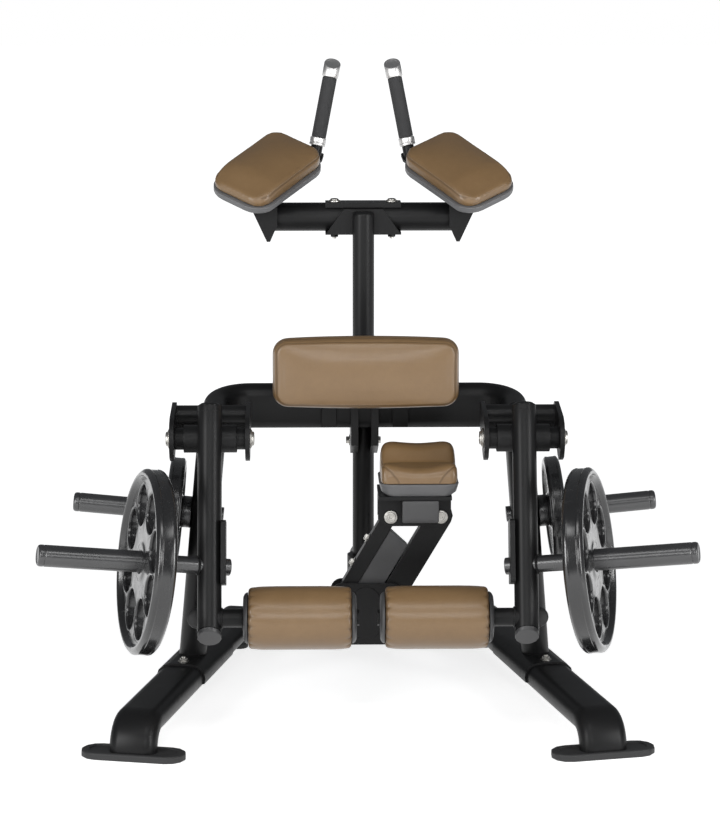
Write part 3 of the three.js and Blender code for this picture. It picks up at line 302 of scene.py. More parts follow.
@dataclass(frozen=True)
class PlateRubber:
    """Glossy black rubber skin of a weight plate, a little rubbed and streaked."""

    dark: Colour = (0.008, 0.008, 0.0085)
    light: Colour = (0.030, 0.030, 0.031)

    def build(self) -> bpy.types.Material:
        """Makes the material."""
        g = Graph("plate_rubber")
        wave = g.noise(16.0, 3.0, 0.5)
        scuff = g.noise(70.0, 6.0, 0.72).ramp(0.52, 0.74)
        fine = g.noise(1400.0, 2.0)
        broad = g.bump(wave, 0.35, 0.003)
        return g.finish({
            "Base Color": g.mix(scuff * 0.6 + wave * 0.4, self.dark, self.light),
            "Roughness": wave * 0.16 + scuff * 0.14 + 0.15,
            "Coat Weight": scuff * -0.25 + 0.6,
            "Coat Roughness": 0.16,
            "Normal": g.bump(fine, 0.08, 0.0002, broad),
        })


@dataclass(frozen=True)
class GreyPlastic:
    """Satin grey moulded plastic with a spark-eroded grain."""

    dark: Colour = (0.125, 0.125, 0.129)
    light: Colour = (0.185, 0.185, 0.189)
    name: str = "grey_plastic"

    def build(self) -> bpy.types.Material:
        """Makes the material."""
        g = Graph(self.name)
        grain = g.noise(1700.0, 2.0)
        cloud = g.noise(12.0, 4.0)
        return g.finish({
            "Base Color": g.mix(cloud * 0.8 + grain * 0.2, self.dark, self.light),
            "Roughness": cloud * 0.12 + grain * 0.1 + 0.32,
            "Normal": g.bump(grain, 0.22, 0.00025),
        })


@dataclass(frozen=True)
class Upholstery:
    """Tan coated cloth: pebbled grain, soft sheen, and painted shade in the seams and gathers."""

    dark: Colour = (0.152, 0.086, 0.034)
    light: Colour = (0.240, 0.147, 0.066)
    # painted shade: the dark colour mixed in along the seams and gathers
    seam: Colour = (0.070, 0.038, 0.015)

    def build(self) -> bpy.types.Material:
        """Makes the material."""
        g = Graph("tan_upholstery")
        pebble = g.cells(760.0)
        pore = g.noise(2400.0, 2.0)
        cloud = g.noise(9.0, 4.0, 0.6)
        blotch = g.noise(55.0, 4.0, 0.65)
        crease = g.node("ShaderNodeAttribute", {"attribute_name": "crease"}, {}, output="Fac")
        tan = g.mix(cloud * 0.55 + blotch * 0.3 + pebble * 0.25, self.dark, self.light)
        # Painted shade: the seam and gather mask mixes the tan towards a dark colour.
        tone = g.node("ShaderNodeMix", {"data_type": "RGBA"}, {
            0: crease * 0.8, 6: tan, 7: (*self.seam, 1.0),
        }, output=2)
        pebbled = g.bump(pebble, 0.22, 0.0005)
        return g.finish({
            "Base Color": tone,
            "Roughness": cloud * 0.10 + blotch * 0.08 + crease * 0.2 + 0.30,
            "Coat Weight": crease * -0.3 + 0.42,
            "Coat Roughness": 0.27,
            "Normal": g.bump(pore, 0.12, 0.0002, pebbled),
        })


@dataclass(frozen=True)
class Thread:
    """Sewing thread a little lighter than the cloth that it holds."""

    colour: Colour = (0.33, 0.235, 0.145)

    def build(self) -> bpy.types.Material:
        """Makes the material."""
        g = Graph("tan_thread")
        twist = g.noise(3000.0, 1.0)
        dark = tuple(0.6 * c for c in self.colour)
        return g.finish({
            "Base Color": g.mix(twist, dark, self.colour),
            "Roughness": twist * 0.2 + 0.5,
            "Normal": g.bump(twist, 0.3, 0.0002),
        })


@dataclass(frozen=True)
class FoamGrip:
    """Dark grip foam with a woven-looking press pattern."""

    dark: Colour = (0.020, 0.020, 0.021)
    light: Colour = (0.052, 0.052, 0.054)

    def build(self) -> bpy.types.Material:
        """Makes the material."""
        g = Graph("grip_foam")
        weave = g.cells(650.0, "DISTANCE_TO_EDGE").ramp(0.02, 0.22)
        cloud = g.noise(60.0, 4.0)
        return g.finish({
            "Base Color": g.mix(weave * 0.6 + cloud * 0.4, self.dark, self.light),
            "Roughness": cloud * 0.12 + 0.62,
            "Normal": g.bump(weave, 0.55, 0.0006),
        })


@dataclass(frozen=True)
class Metal:
    """Bright metal with a turned or brushed grain."""

    name: str
    colour: Colour
    rough: float
    grain: float
    stretch: Triple = (1.0, 1.0, 8.0)

    def build(self) -> bpy.types.Material:
        """Makes the material."""
        g = Graph(self.name)
        lines = g.noise(420.0, 3.0, 0.6, self.stretch)
        smear = g.noise(35.0, 4.0, 0.6)
        dull = tuple(0.72 * c for c in self.colour)
        return g.finish({
            "Base Color": g.mix(smear * 0.6 + lines * 0.4, dull, self.colour),
            "Metallic": 1.0,
            "Roughness": smear * 0.10 + lines * self.grain + self.rough,
            "Normal": g.bump(lines, 0.05 + self.grain * 0.4, 0.0002),
        })


class Paintbox:
    """One finish for each slot, thread for the seams and three finishes for single pieces."""

    def __init__(self) -> None:
        """Builds every finish once."""
        finishes = {
            Slot.PAINT: PowderCoat(),
            Slot.RUBBER: MouldedRubber(),
            Slot.PLATE: PlateRubber(),
            Slot.PLASTIC: GreyPlastic(),
            Slot.SKIN: Upholstery(),
            Slot.GRIP: FoamGrip(),
            Slot.CHROME: Metal(
                "brushed_chrome", (0.78, 0.77, 0.76), 0.27, 0.20, (1.0, 1.0, 0.12)),
            Slot.ZINC: Metal("zinc_plate", (0.60, 0.585, 0.55), 0.22, 0.14),
        }
        self.by_slot = {slot: finish.build() for slot, finish in finishes.items()}
        self.thread = Thread().build()
        self.sleeve = PowderCoat(
            (0.020, 0.020, 0.021), (0.038, 0.038, 0.040), 0.24, 1.0, "sleeve_coat").build()
        self.cover = GreyPlastic(
            (0.048, 0.048, 0.049), (0.074, 0.074, 0.076), "grey_cover").build()
        self.end_cap = GreyPlastic(
            (0.036, 0.036, 0.037), (0.072, 0.072, 0.074), "dark_plastic").build()
        self.special = {"knee_stop_block": self.end_cap, "arm_cap": self.end_cap}

    def carry_over(self) -> None:
        """Gives every CAD node the finish of its slot."""
        parts = frame["record"]["subparts"]
        slots = {part["node"]: Slot(part["material_slot"]) for part in parts}
        for name, node in frame["nodes"].items():
            node.data.materials.clear()
            node.data.materials.append(self.by_slot[slots[name]])


# Points.


def units(vectors: np.ndarray) -> np.ndarray:
    """The vectors of the last axis, each made one long."""
    return vectors / np.linalg.norm(vectors, axis=-1, keepdims=True)


def turns(count: int) -> np.ndarray:
    """Angles evenly spaced round a full turn."""
    return np.arange(count) / count * FULL


def polar(radius: Any, angle: np.ndarray, height: Any) -> np.ndarray:
    """Points (r cos a, r sin a, z) of radii, angles and heights that broadcast."""
    x, y = radius * np.cos(angle), radius * np.sin(angle)
    return np.stack([x, y, height + 0 * x], axis=-1)


def raised(flat: np.ndarray, height: float) -> np.ndarray:
    """Plane points lifted to a height."""
    return np.concatenate([flat, np.full((len(flat), 1), height)], axis=1)


def lengths(line: np.ndarray) -> np.ndarray:
    """Distance along a line from its first point to each of its points."""
    return np.concatenate([[0], np.cumsum(np.linalg.norm(np.diff(line, axis=0), axis=1))])


def traced(line: np.ndarray, run: np.ndarray, at: np.ndarray) -> np.ndarray:
    """Points of a line at given distances along it, run being those of its own points."""
    return np.stack([np.interp(at, run, column) for column in line.T], axis=-1)


def spline(knots: Any, values: Any, at: np.ndarray) -> np.ndarray:
    """Smooth curve through values at rising knots.

    Between two knots it is the cubic with the values there and slopes taken from the neighbours.
    """
    x, y = np.asarray(knots, float), np.asarray(values, float)
    slope = np.gradient(y, x)
    k = np.clip(np.searchsorted(x, at, side="right") - 1, 0, len(x) - 2)
    h = x[k + 1] - x[k]
    t = np.clip((at - x[k]) / h, 0, 1)
    rise = 3 * t ** 2 - 2 * t ** 3
    return (
        (1 - rise) * y[k] + rise * y[k + 1]
        + h * (t ** 3 - 2 * t ** 2 + t) * slope[k] + h * (t ** 3 - t ** 2) * slope[k + 1]
    )


def curve(columns: Any, count: int) -> np.ndarray:
    """Smooth curve through knots, given as a column of values for each axis."""
    at = np.linspace(0, 1, count)
    return np.stack([spline(np.linspace(0, 1, len(c)), c, at) for c in columns], axis=-1)


def eased(profile: Any, radius: float, steps: int = 4) -> np.ndarray:
    """Polyline with its inner corners rounded.

    Each corner gives way to a quadratic curve whose ends lie on its two sides, the radius away or
    at most at 0.45 of the shorter side: (1-s)^2 times the first end, 2s(1-s) times the corner and
    s^2 times the second end.

    Args:
        profile: points of the polyline.
        radius: distance from a corner at which its curve starts.
        steps: points on each curve.

    Returns:
        The rounded polyline.
    """
    p = np.asarray(profile, float)
    before, after = p[:-2] - p[1:-1], p[2:] - p[1:-1]
    long_before = np.linalg.norm(before, axis=1, keepdims=True)
    long_after = np.linalg.norm(after, axis=1, keepdims=True)
    reach = np.minimum(radius, 0.45 * np.minimum(long_before, long_after))
    start = (p[1:-1] + before / long_before * reach)[:, None, :]
    end = (p[1:-1] + after / long_after * reach)[:, None, :]
    corner = p[1:-1][:, None, :]
    s = np.linspace(0, 1, steps)[None, :, None]
    curves = (1 - s) ** 2 * start + 2 * s * (1 - s) * corner + s ** 2 * end
    return np.concatenate([p[:1], curves.reshape(-1, p.shape[1]), p[-1:]])


def both_ends(half: list[tuple[float, float]], length: float) -> list[tuple[float, float]]:
    """Profile of one end and, in reverse, the same profile at the other end of a length."""
    return [*half, *((r, length - z) for r, z in half[::-1])]


def oval(width: float, height: float, sides: int = 40) -> np.ndarray:
    """Flat-oval section: a circle of the shorter side whose two halves stand apart.

    At angle a the point is the radius times (cos a, sin a), plus the sign of the longer axis's
    part times half the difference of the sides.
    """
    a = (np.arange(sides) + 0.5) / sides * FULL
    radius = min(width, height) / 2
    x, y = radius * np.cos(a), radius * np.sin(a)
    x = x + np.sign(x) * (width / 2 - radius)
    y = y + np.sign(y) * (height / 2 - radius)
    return np.stack([x, y], axis=-1)


def soft_rectangle(width: float, height: float, corner: float, per_corner: int = 12,
                   per_side: int = 12) -> np.ndarray:
    """Rectangle with round corners: four quarter circles joined by straight runs."""
    a = np.linspace(0, math.pi / 2, per_corner)
    quarter = corner * np.stack([np.cos(a), np.sin(a)], axis=-1)
    parts = []
    for k, (sx, sy) in enumerate([(1, 1), (-1, 1), (-1, -1), (1, -1)]):
        turn = k * math.pi / 2
        spin = np.array([[math.cos(turn), math.sin(turn)], [-math.sin(turn), math.cos(turn)]])
        parts.append(quarter @ spin + [sx * (width / 2 - corner), sy * (height / 2 - corner)])
    share = np.linspace(0, 1, per_side + 2)[1:-1, None]
    runs = [(1 - share) * parts[k][-1] + share * parts[(k + 1) % 4][0] for k in range(4)]
    return np.concatenate([piece for k in range(4) for piece in (parts[k], runs[k])])


def rotated(vector: np.ndarray, angle: np.ndarray) -> np.ndarray:
    """A plane vector turned by each angle of a column."""
    cos, sin = np.cos(angle), np.sin(angle)
    return np.concatenate(
        [vector[0] * cos - vector[1] * sin, vector[0] * sin + vector[1] * cos], axis=1)


def route(corners: Any, bend: float, per_bend: int) -> tuple[np.ndarray, np.ndarray]:
    """Path in a plane along straight runs with round bends.

    On a bend the point is the bend's centre plus its spoke turned by a growing angle.

    Args:
        corners: two-number points of the path.
        bend: radius of the bends.
        per_bend: stations on a bend.

    Returns:
        The stations and the unit tangents at them.
    """
    c = np.asarray(corners, float)
    heading = units(np.diff(c, axis=0))
    points, tangents = [c[:1]], [heading[:1]]
    for i in range(1, len(c) - 1):
        before, after = heading[i - 1], heading[i]
        cross = before[0] * after[1] - before[1] * after[0]
        turn = math.atan2(cross, float(before @ after))
        inward = np.sign(turn) * np.array([-before[1], before[0]])
        start = c[i] - before * bend * math.tan(abs(turn) / 2)
        a = np.linspace(0, turn, per_bend)[:, None]
        points.append(start + inward * bend + rotated(-inward * bend, a))
        tangents.append(rotated(before, a))
    points.append(c[-1:])
    tangents.append(heading[-1:])
    return np.concatenate(points), np.concatenate(tangents)


# Surfaces.


@dataclass(frozen=True)
class Axes:
    """A local frame in the row frame: its origin in millimetres and its unit axes."""

    origin: Triple
    across: Triple = (1.0, 0.0, 0.0)
    along: Triple = (0.0, 1.0, 0.0)
    out: Triple = (0.0, 0.0, 1.0)

    def place(self, points: np.ndarray) -> np.ndarray:
        """Local points, last axis three long, carried into the row frame."""
        return np.asarray(self.origin) + points @ np.array([self.across, self.along, self.out])

    def moved(self, by: float) -> "Axes":
        """The frame carried along its third axis."""
        origin = np.asarray(self.origin) + by * np.asarray(self.out)
        return Axes(tuple(origin), self.across, self.along, self.out)

    def on(self, side: Side) -> "Axes":
        """The frame, given for the left, on the asked side."""
        given = (self.origin, self.across, self.along, self.out)
        return Axes(*(tuple(np.asarray(v) * side.flip) for v in given))

    @staticmethod
    def sideways(*origin: float) -> "Axes":
        """Frame with its third axis across the machine."""
        return Axes(origin, (0, 1, 0), (0, 0, 1), (1, 0, 0))

    @staticmethod
    def aimed(origin: Any, out: Any, hint: Any = (0.0, 0.0, 1.0)) -> "Axes":
        """Frame with its third axis along out and its second as near as it can be to hint."""
        z = np.asarray(out, float) / np.linalg.norm(out)
        y = np.asarray(hint, float) - np.dot(hint, z) * z
        y = y / np.linalg.norm(y)
        return Axes(tuple(origin), tuple(np.cross(y, z)), tuple(y), tuple(z))


@dataclass
class Skin:
    """Vertices in millimetres in the row frame, and quads."""

    points: np.ndarray
    quads: np.ndarray

    def on(self, side: Side) -> "Skin":
        """The skin, drawn on the left, on the asked side."""
        return Skin(self.points * side.flip, self.quads[:, ::-1]) if side is Side.RIGHT else self

    @staticmethod
    def joined(skins: list["Skin"]) -> "Skin":
        """Several skins as one."""
        starts = np.cumsum([0] + [len(s.points) for s in skins[:-1]])
        return Skin(
            np.concatenate([s.points for s in skins]),
            np.concatenate([s.quads + start for s, start in zip(skins, starts)]),
        )


def grid(points: np.ndarray, loop: bool = False) -> Skin:
    """Quads over rows of points whose last column meets the first.

    Args:
        points: rows by columns by three.
        loop: True where the last row meets the first.

    Returns:
        The skin.
    """
    rows, cols = points.shape[:2]
    index = np.arange(rows * cols).reshape(rows, cols)
    index = np.concatenate([index, index[:, :1]], axis=1)
    if loop:
        index = np.concatenate([index, index[:1]], axis=0)
    quads = np.stack([index[:-1, :-1], index[:-1, 1:], index[1:, 1:], index[1:, :-1]], axis=-1)
    return Skin(points.reshape(-1, 3), quads.reshape(-1, 4))


def lathe(profile: Any, axes: Axes, sides: int, ease: float) -> Skin:
    """Surface of revolution about the third axis.

    Args:
        profile: radius and height pairs.
        axes: where it stands.
        sides: columns round the axis.
        ease: rounding of the profile's corners.

    Returns:
        The skin.
    """
    p = eased(profile, ease) if ease > 0 else np.asarray(profile, float)
    return grid(axes.place(polar(p[:, :1], turns(sides), p[:, 1:])))


def rod(radius: float, start: float, end: float, axes: Axes, sides: int, ease: float,
        inner: float = POLE) -> Skin:
    """Turned cylinder between two heights, or a sleeve where an inner radius is given."""
    return lathe([(inner, start), (radius, start), (radius, end), (inner, end)], axes, sides, ease)


def stepped(section: np.ndarray, levels: list[tuple[float, float]], axes: Axes) -> Skin:
    """Section repeated at levels, each a size and a height."""
    return grid(axes.place(np.stack([raised(section * size, z) for size, z in levels])))


def swept(section: np.ndarray, path: tuple[np.ndarray, np.ndarray], axes: Axes) -> Skin:
    """Section carried along a plane path.

    A section point (u, v) at a station is the station plus u times the plane's normal and v
    times the path's own normal in the plane.

    Args:
        section: outline, its first number out of the plane of the path.
        path: stations and tangents in the plane of the first two axes.
        axes: where the plane lies.

    Returns:
        The skin, closed by shrinking rings at both ends.
    """
    points, tangents = path
    closing = [0.0, 0.55, 0.9]
    twice = ((len(closing), len(closing)), (0, 0))
    stations = np.pad(points, twice, mode="edge")
    normals = np.pad(np.stack([-tangents[:, 1], tangents[:, 0]], axis=-1), twice, mode="edge")
    sizes = np.concatenate([closing, np.ones(len(points)), closing[::-1]])[:, None]
    u, v = section[None, :, 0] * sizes, section[None, :, 1] * sizes
    flat = stations[:, None, :] + v[..., None] * normals[:, None, :]
    return grid(axes.place(np.concatenate([flat, u[..., None]], axis=-1)))


def bolt(axes: Axes, head: float, height: float, washer: float) -> Skin:
    """Hexagon head with a turned chamfer on a flat washer; the third axis points out of it."""
    thick = 2.0
    six = lathe([
        (POLE, thick), (head, thick), (head, thick + height * 0.82),
        (head * 0.88, thick + height), (POLE, thick + height),
    ], axes, 6, 0.0)
    return Skin.joined([rod(washer, 0.0, thick, axes, 36, 0.5), six])


def weld_ring(axes: Axes, radius: float, height: float, count: int, bead: float, seed: int) -> Skin:
    """Weld bead round a tube.

    The bead is a circle carried round the tube. Its size swells and shrinks with a sine of a fixed
    pitch and a little seeded noise, as a row of weld pools does.

    Args:
        axes: the tube's frame.
        radius: radius of the run.
        height: where it lies along the tube.
        count: stations of the run.
        bead: radius of the bead.
        seed: seed of the noise.

    Returns:
        The skin.
    """
    chance = np.random.default_rng(seed)
    centres = axes.place(polar(radius, turns(count), height))
    t = units(np.roll(centres, -1, axis=0) - np.roll(centres, 1, axis=0))
    out = centres - centres.mean(axis=0)
    out = units(out - (out * t).sum(1, keepdims=True) * t)
    side = np.cross(t, out)
    run = lengths(centres)
    size = bead * (1 + 0.10 * np.sin(run / 1.9 * math.pi) + 0.06 * chance.standard_normal(len(run)))
    a = turns(8)[None, :, None]
    spokes = np.cos(a) * out[:, None, :] + np.sin(a) * side[:, None, :]
    return grid(centres[:, None, :] + size[:, None, None] * spokes, loop=True)


# Objects.


def linked(name: str, data: Any) -> bpy.types.Object:
    """New object in the scene."""
    obj = bpy.data.objects.new(name, data)
    bpy.context.scene.collection.objects.link(obj)
    return obj


def vectors(mesh: bpy.types.Mesh, kind: str = "co") -> np.ndarray:
    """Position, or another vector, of every vertex."""
    values = np.empty(len(mesh.vertices) * 3)
    mesh.vertices.foreach_get(kind, values)
    return values.reshape(-1, 3)


def mark_painted_shade(mesh: bpy.types.Mesh, share: np.ndarray) -> None:
    """Keeps a share for every vertex as the attribute that paints shade into the upholstery."""
    mesh.attributes.new("crease", "FLOAT", "POINT").data.foreach_set("value", share)


class Workshop:
    """Turns skins into objects and hangs them on the frame's bodies."""

    def __init__(self, paints: Paintbox) -> None:
        """Keeps the finishes and reads which body each node is on."""
        self.paints = paints
        bodies = frame["record"]["behaviour"]["bodies"]
        self.body_of = {node: body for body, nodes in bodies.items() for node in nodes}
        self.count = 0

    def raw(self, name: str, skin: Skin) -> bpy.types.Object:
        """Object with a welded mesh, free of doubles and empty faces, that faces outwards."""
        mesh = bpy.data.meshes.new(name)
        mesh.from_pydata((skin.points * MM).tolist(), [], skin.quads.tolist())
        bm = bmesh.new()
        bm.from_mesh(mesh)
        bmesh.ops.remove_doubles(bm, verts=bm.verts, dist=MERGE)
        bmesh.ops.dissolve_degenerate(bm, edges=bm.edges, dist=MERGE / 4)
        bmesh.ops.recalc_face_normals(bm, faces=bm.faces)
        bm.to_mesh(mesh)
        bm.free()
        return linked(name, mesh)

    def dress(self, obj: bpy.types.Object, node: str, slot: Slot, replaces: bool = False,
              material: Optional[bpy.types.Material] = None,
              sharp: float = 38.0) -> bpy.types.Object:
        """Shades a piece, gives it its finish and lets it ride with a node's body.

        Args:
            obj: the piece.
            node: the CAD node whose body carries it.
            slot: the record's material slot.
            replaces: True where the piece stands for the node.
            material: a finish other than the slot's own.
            sharp: edges sharper than this, in degrees, stay sharp.

        Returns:
            The piece.
        """
        obj.data.shade_smooth()
        if sharp < ALL_SMOOTH:
            obj.data.set_sharp_from_angle(angle=math.radians(sharp))
        obj.data.materials.clear()
        obj.data.materials.append(material or self.paints.by_slot[slot])
        if replaces:
            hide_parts(node)
        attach(obj, self.body_of[node])
        self.count += 1
        log.info("%s rides on %s", obj.name, self.body_of[node])
        return obj

    def make(self, name: str, skin: Skin, node: str, slot: Slot,
             **options: Any) -> bpy.types.Object:
        """Object from a skin, dressed."""
        return self.dress(self.raw(name, skin), node, slot, **options)

    def pair(self, side: Side, name: str, skin: Skin, node: str, slot: Slot,
             **options: Any) -> bpy.types.Object:
        """Object from a skin drawn on the left, put on a side, named for it and dressed."""
        return self.make(side.of(name), skin.on(side), side.of(node), slot, **options)

    def softened(self, node: str, slot: Slot, width: float,
                 material: Optional[bpy.types.Material] = None) -> None:
        """Puts a copy of a CAD node, with its edges rolled, in its place.

        Args:
            node: the CAD node.
            slot: its material slot.
            width: width of the rolled edges in millimetres.
            material: a finish other than the slot's own.
        """
        mesh = frame["nodes"][node].data.copy()
        mesh.name = f"{node}_body"
        bm = bmesh.new()
        bm.from_mesh(mesh)
        bmesh.ops.remove_doubles(bm, verts=bm.verts, dist=2 * MERGE)
        bmesh.ops.dissolve_limit(
            bm, angle_limit=FLAT_EDGE, verts=bm.verts, edges=bm.edges, delimit={"NORMAL"})
        bm.to_mesh(mesh)
        bm.free()
        obj = linked(f"{node}_body", mesh)
        self.dress(obj, node, slot, replaces=True, sharp=ALL_SMOOTH, material=material)
        roll = obj.modifiers.new("rolled_edges", "BEVEL")
        roll.width = width * MM
        roll.segments = 3
        roll.limit_method = "ANGLE"
        roll.angle_limit = ROLLED_EDGE
        roll.use_clamp_overlap = True
        roll.miter_outer = "MITER_ARC"
        steady = obj.modifiers.new("steady_normals", "WEIGHTED_NORMAL")
        steady.weight = 60


# Soft goods.


@dataclass(frozen=True)
class Filling:
    """How a pad is blown up as cloth; the cap and the voxel are in millimetres.

    The cap is the most that a point may move. The passes spread the moves over neighbours.
    """

    pressure: float = 3.0
    cap: float = 5.0
    voxel: float = 5.0
    stiffness: float = 20.0
    bending: float = 2.0
    quality: int = 5
    frames: int = 20
    passes: int = 90


class Tailor:
    """Fills, seams and stitches the pads."""

    def __init__(self, shop: Workshop) -> None:
        """Keeps the workshop."""
        self.shop = shop

    @staticmethod
    def keep(obj: bpy.types.Object) -> None:
        """Keeps the result of a pad's modifiers in its mesh."""
        graph = bpy.context.evaluated_depsgraph_get()
        kept = bpy.data.meshes.new_from_object(obj.evaluated_get(graph))
        obj.modifiers.clear()
        obj.data = kept

    def fill(self, obj: bpy.types.Object, rest: Axes, filling: Filling) -> None:
        """Blows the pad up as cloth and keeps the result in its mesh.

        Args:
            obj: the pad, slightly small.
            rest: frame whose third axis points away from what the pad rests on.
            filling: the cloth's values.
        """
        grain = obj.modifiers.new("even", "REMESH")
        grain.mode = "VOXEL"
        grain.voxel_size = filling.voxel * MM
        self.keep(obj)
        mesh = obj.data
        start = vectors(mesh)
        height = (start / MM - np.asarray(rest.origin)) @ np.asarray(rest.out)
        still = height < height.min() + 0.9 * filling.voxel
        group = obj.vertex_groups.new(name="base")
        group.add(np.flatnonzero(still).tolist(), 1.0, "REPLACE")
        cloth = obj.modifiers.new("cloth", "CLOTH")
        cloth.settings.vertex_group_mass = "base"
        cloth.settings.use_pressure = True
        cloth.settings.uniform_pressure_force = filling.pressure
        cloth.settings.effector_weights.gravity = 0.0
        cloth.settings.quality = filling.quality
        cloth.settings.tension_stiffness = filling.stiffness
        cloth.settings.compression_stiffness = filling.stiffness
        cloth.settings.bending_stiffness = filling.bending
        cloth.point_cache.frame_start = 1
        cloth.point_cache.frame_end = filling.frames
        for number in range(1, filling.frames + 1):
            bpy.context.scene.frame_set(number)
        graph = bpy.context.evaluated_depsgraph_get()
        move = vectors(obj.evaluated_get(graph).to_mesh()) - start
        size = np.linalg.norm(move, axis=1, keepdims=True)
        move = move * np.minimum(1.0, filling.cap * MM / np.maximum(size, 1e-9))
        move = self.even_out(mesh, move, still, filling.passes)
        obj.modifiers.clear()
        bpy.context.scene.frame_set(1)
        mesh.vertices.foreach_set("co", (start + move).ravel())
        mesh.update()
        log.info("%s filled, most %.1f mm", obj.name, float(size.max()) / MM)

    @staticmethod
    def even_out(mesh: bpy.types.Mesh, move: np.ndarray, still: np.ndarray,
                 passes: int) -> np.ndarray:
        """Spreads the moves of a mesh over its neighbours, so that no pucker is left.

        In each pass a vertex takes half its own move and half the mean of its neighbours' moves.

        Args:
            mesh: the mesh that gives the neighbours.
            move: one move per vertex.
            still: the vertices that stay where they are.
            passes: how often the moves are spread.

        Returns:
            The moves, evened out.
        """
        ends = np.empty(len(mesh.edges) * 2, dtype=np.int32)
        mesh.edges.foreach_get("vertices", ends)
        a, b = ends.reshape(-1, 2).T
        here, there = np.concatenate([a, b]), np.concatenate([b, a])
        near = np.maximum(np.bincount(here, minlength=len(move)), 1)[:, None]
        free = ~still[:, None]
        for _ in range(passes):
            total = np.stack(
                [np.bincount(here, move[there, k], len(move)) for k in range(3)], axis=-1)
            move = free * (move + total / near) / 2
        return move

    def project(self, obj: bpy.types.Object, guide: np.ndarray) -> tuple[np.ndarray, np.ndarray]:
        """Nearest points of a pad to a guide line.

        Args:
            obj: the pad.
            guide: points in millimetres in the row frame.

        Returns:
            The points on the pad, 1 mm apart and averaged over nine, and the normals there.
        """
        tree = BVHTree.FromPolygons(
            [v.co for v in obj.data.vertices], [p.vertices for p in obj.data.polygons])
        run = lengths(guide)
        even = traced(guide, run, np.arange(0, run[-1], 1.0))
        hits = [tree.find_nearest(Vector(p * MM)) for p in even]
        points = np.array([h[0] for h in hits]) / MM
        normals = np.array([h[1] for h in hits])
        kernel = np.ones(9) / 9
        ends = [np.pad(column, 4, mode="edge") for column in points.T]
        points = np.stack([np.convolve(column, kernel, mode="valid") for column in ends], axis=-1)
        return points, normals

    def groove(self, obj: bpy.types.Object, lines: list[np.ndarray], depth: float,
               width: float) -> None:
        """Draws the pad in along its seams and paints shade into them.

        A vertex moves against its normal by depth times exp(-(d/width)^2), d being its distance to
        the nearest seam. The square of that share is kept as painted shade in the seam.

        Args:
            obj: the pad.
            lines: seam points in millimetres.
            depth: how far the seam is drawn in.
            width: half width of the valley.
        """
        mesh = obj.data
        co, normal = vectors(mesh), vectors(mesh, "normal")
        seam = np.concatenate(lines) * MM
        nearest = np.full(len(co), 1.0)
        for part in np.array_split(seam, max(1, len(seam) // 60)):
            gap = np.linalg.norm(co[:, None, :] - part[None, :, :], axis=2).min(axis=1)
            nearest = np.minimum(nearest, gap)
        share = np.exp(-(nearest / (width * MM)) ** 2)
        co = co - normal * (depth * MM * share)[:, None]
        mesh.vertices.foreach_set("co", co.ravel())
        # Painted shade: the seam share darkens the cloth in the valleys.
        mark_painted_shade(mesh, share ** 2)
        mesh.update()

    def cushion(self, name: str, skin: Skin, node: str, rest: Axes, guides: list[np.ndarray],
                depth: float, width: float, filling: Filling = Filling(),
                always_fine: bool = False) -> bpy.types.Object:
        """Makes, fills, refines, seams and dresses a pad.

        Args:
            name: the pad's name.
            skin: its surface, slightly small.
            node: the CAD node that it stands for.
            rest: frame whose third axis points away from what it rests on.
            guides: lines near its seams.
            depth: how far the seams are drawn in.
            width: half width of the valley along them.
            filling: the cloth's values.

        Returns:
            The pad.
        """
        obj = self.shop.raw(name, skin)
        self.fill(obj, rest, filling)
        if always_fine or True:
            smooth = obj.modifiers.new("smooth", "SUBSURF")
            smooth.levels = smooth.render_levels = 1
            self.keep(obj)
        self.groove(obj, [self.project(obj, guide)[0] for guide in guides], depth, width)
        return self.shop.dress(obj, node, Slot.SKIN, replaces=True, sharp=ALL_SMOOTH)

    def stitches(self, name: str, obj: bpy.types.Object, guides: list[np.ndarray], node: str,
                 pitch: int = 5, long: float = 3.4, radius: float = 0.55) -> None:
        """Row of stitches on a pad along guides.

        Each stitch is an ellipsoid with its long axis on the seam: a ring of six points at each of
        five stations, scaled by the square root of 1 minus the station squared.

        Args:
            name: the stitches' name.
            obj: the pad.
            guides: lines near the stitches.
            node: the pad's node.
            pitch: distance between stitches in millimetres.
            long: length of a stitch.
            radius: its half thickness.
        """
        lift = 0.1
        station = np.array([-1.0, -0.7, 0.0, 0.7, 1.0])[:, None]
        size = np.sqrt(1 - station ** 2 * 0.999) * radius
        a = turns(6)
        unit = np.stack([station * long / 2 + 0 * a, size * np.cos(a), size * np.sin(a)], axis=-1)
        skins = []
        for points, normals in [self.project(obj, guide) for guide in guides]:
            pick = np.arange(2, len(points) - 2, pitch)
            t = units(points[pick + 1] - points[pick - 1])
            n = units(normals[pick] - (normals[pick] * t).sum(1, keepdims=True) * t)
            centre = points[pick] + lift * n
            turned = np.stack([t, np.cross(n, t), n], axis=1)
            skins += [grid(c + unit @ axes) for c, axes in zip(centre, turned)]
        self.shop.make(name, Skin.joined(skins), node, Slot.SKIN,
                       material=self.shop.paints.thread, sharp=ALL_SMOOTH)


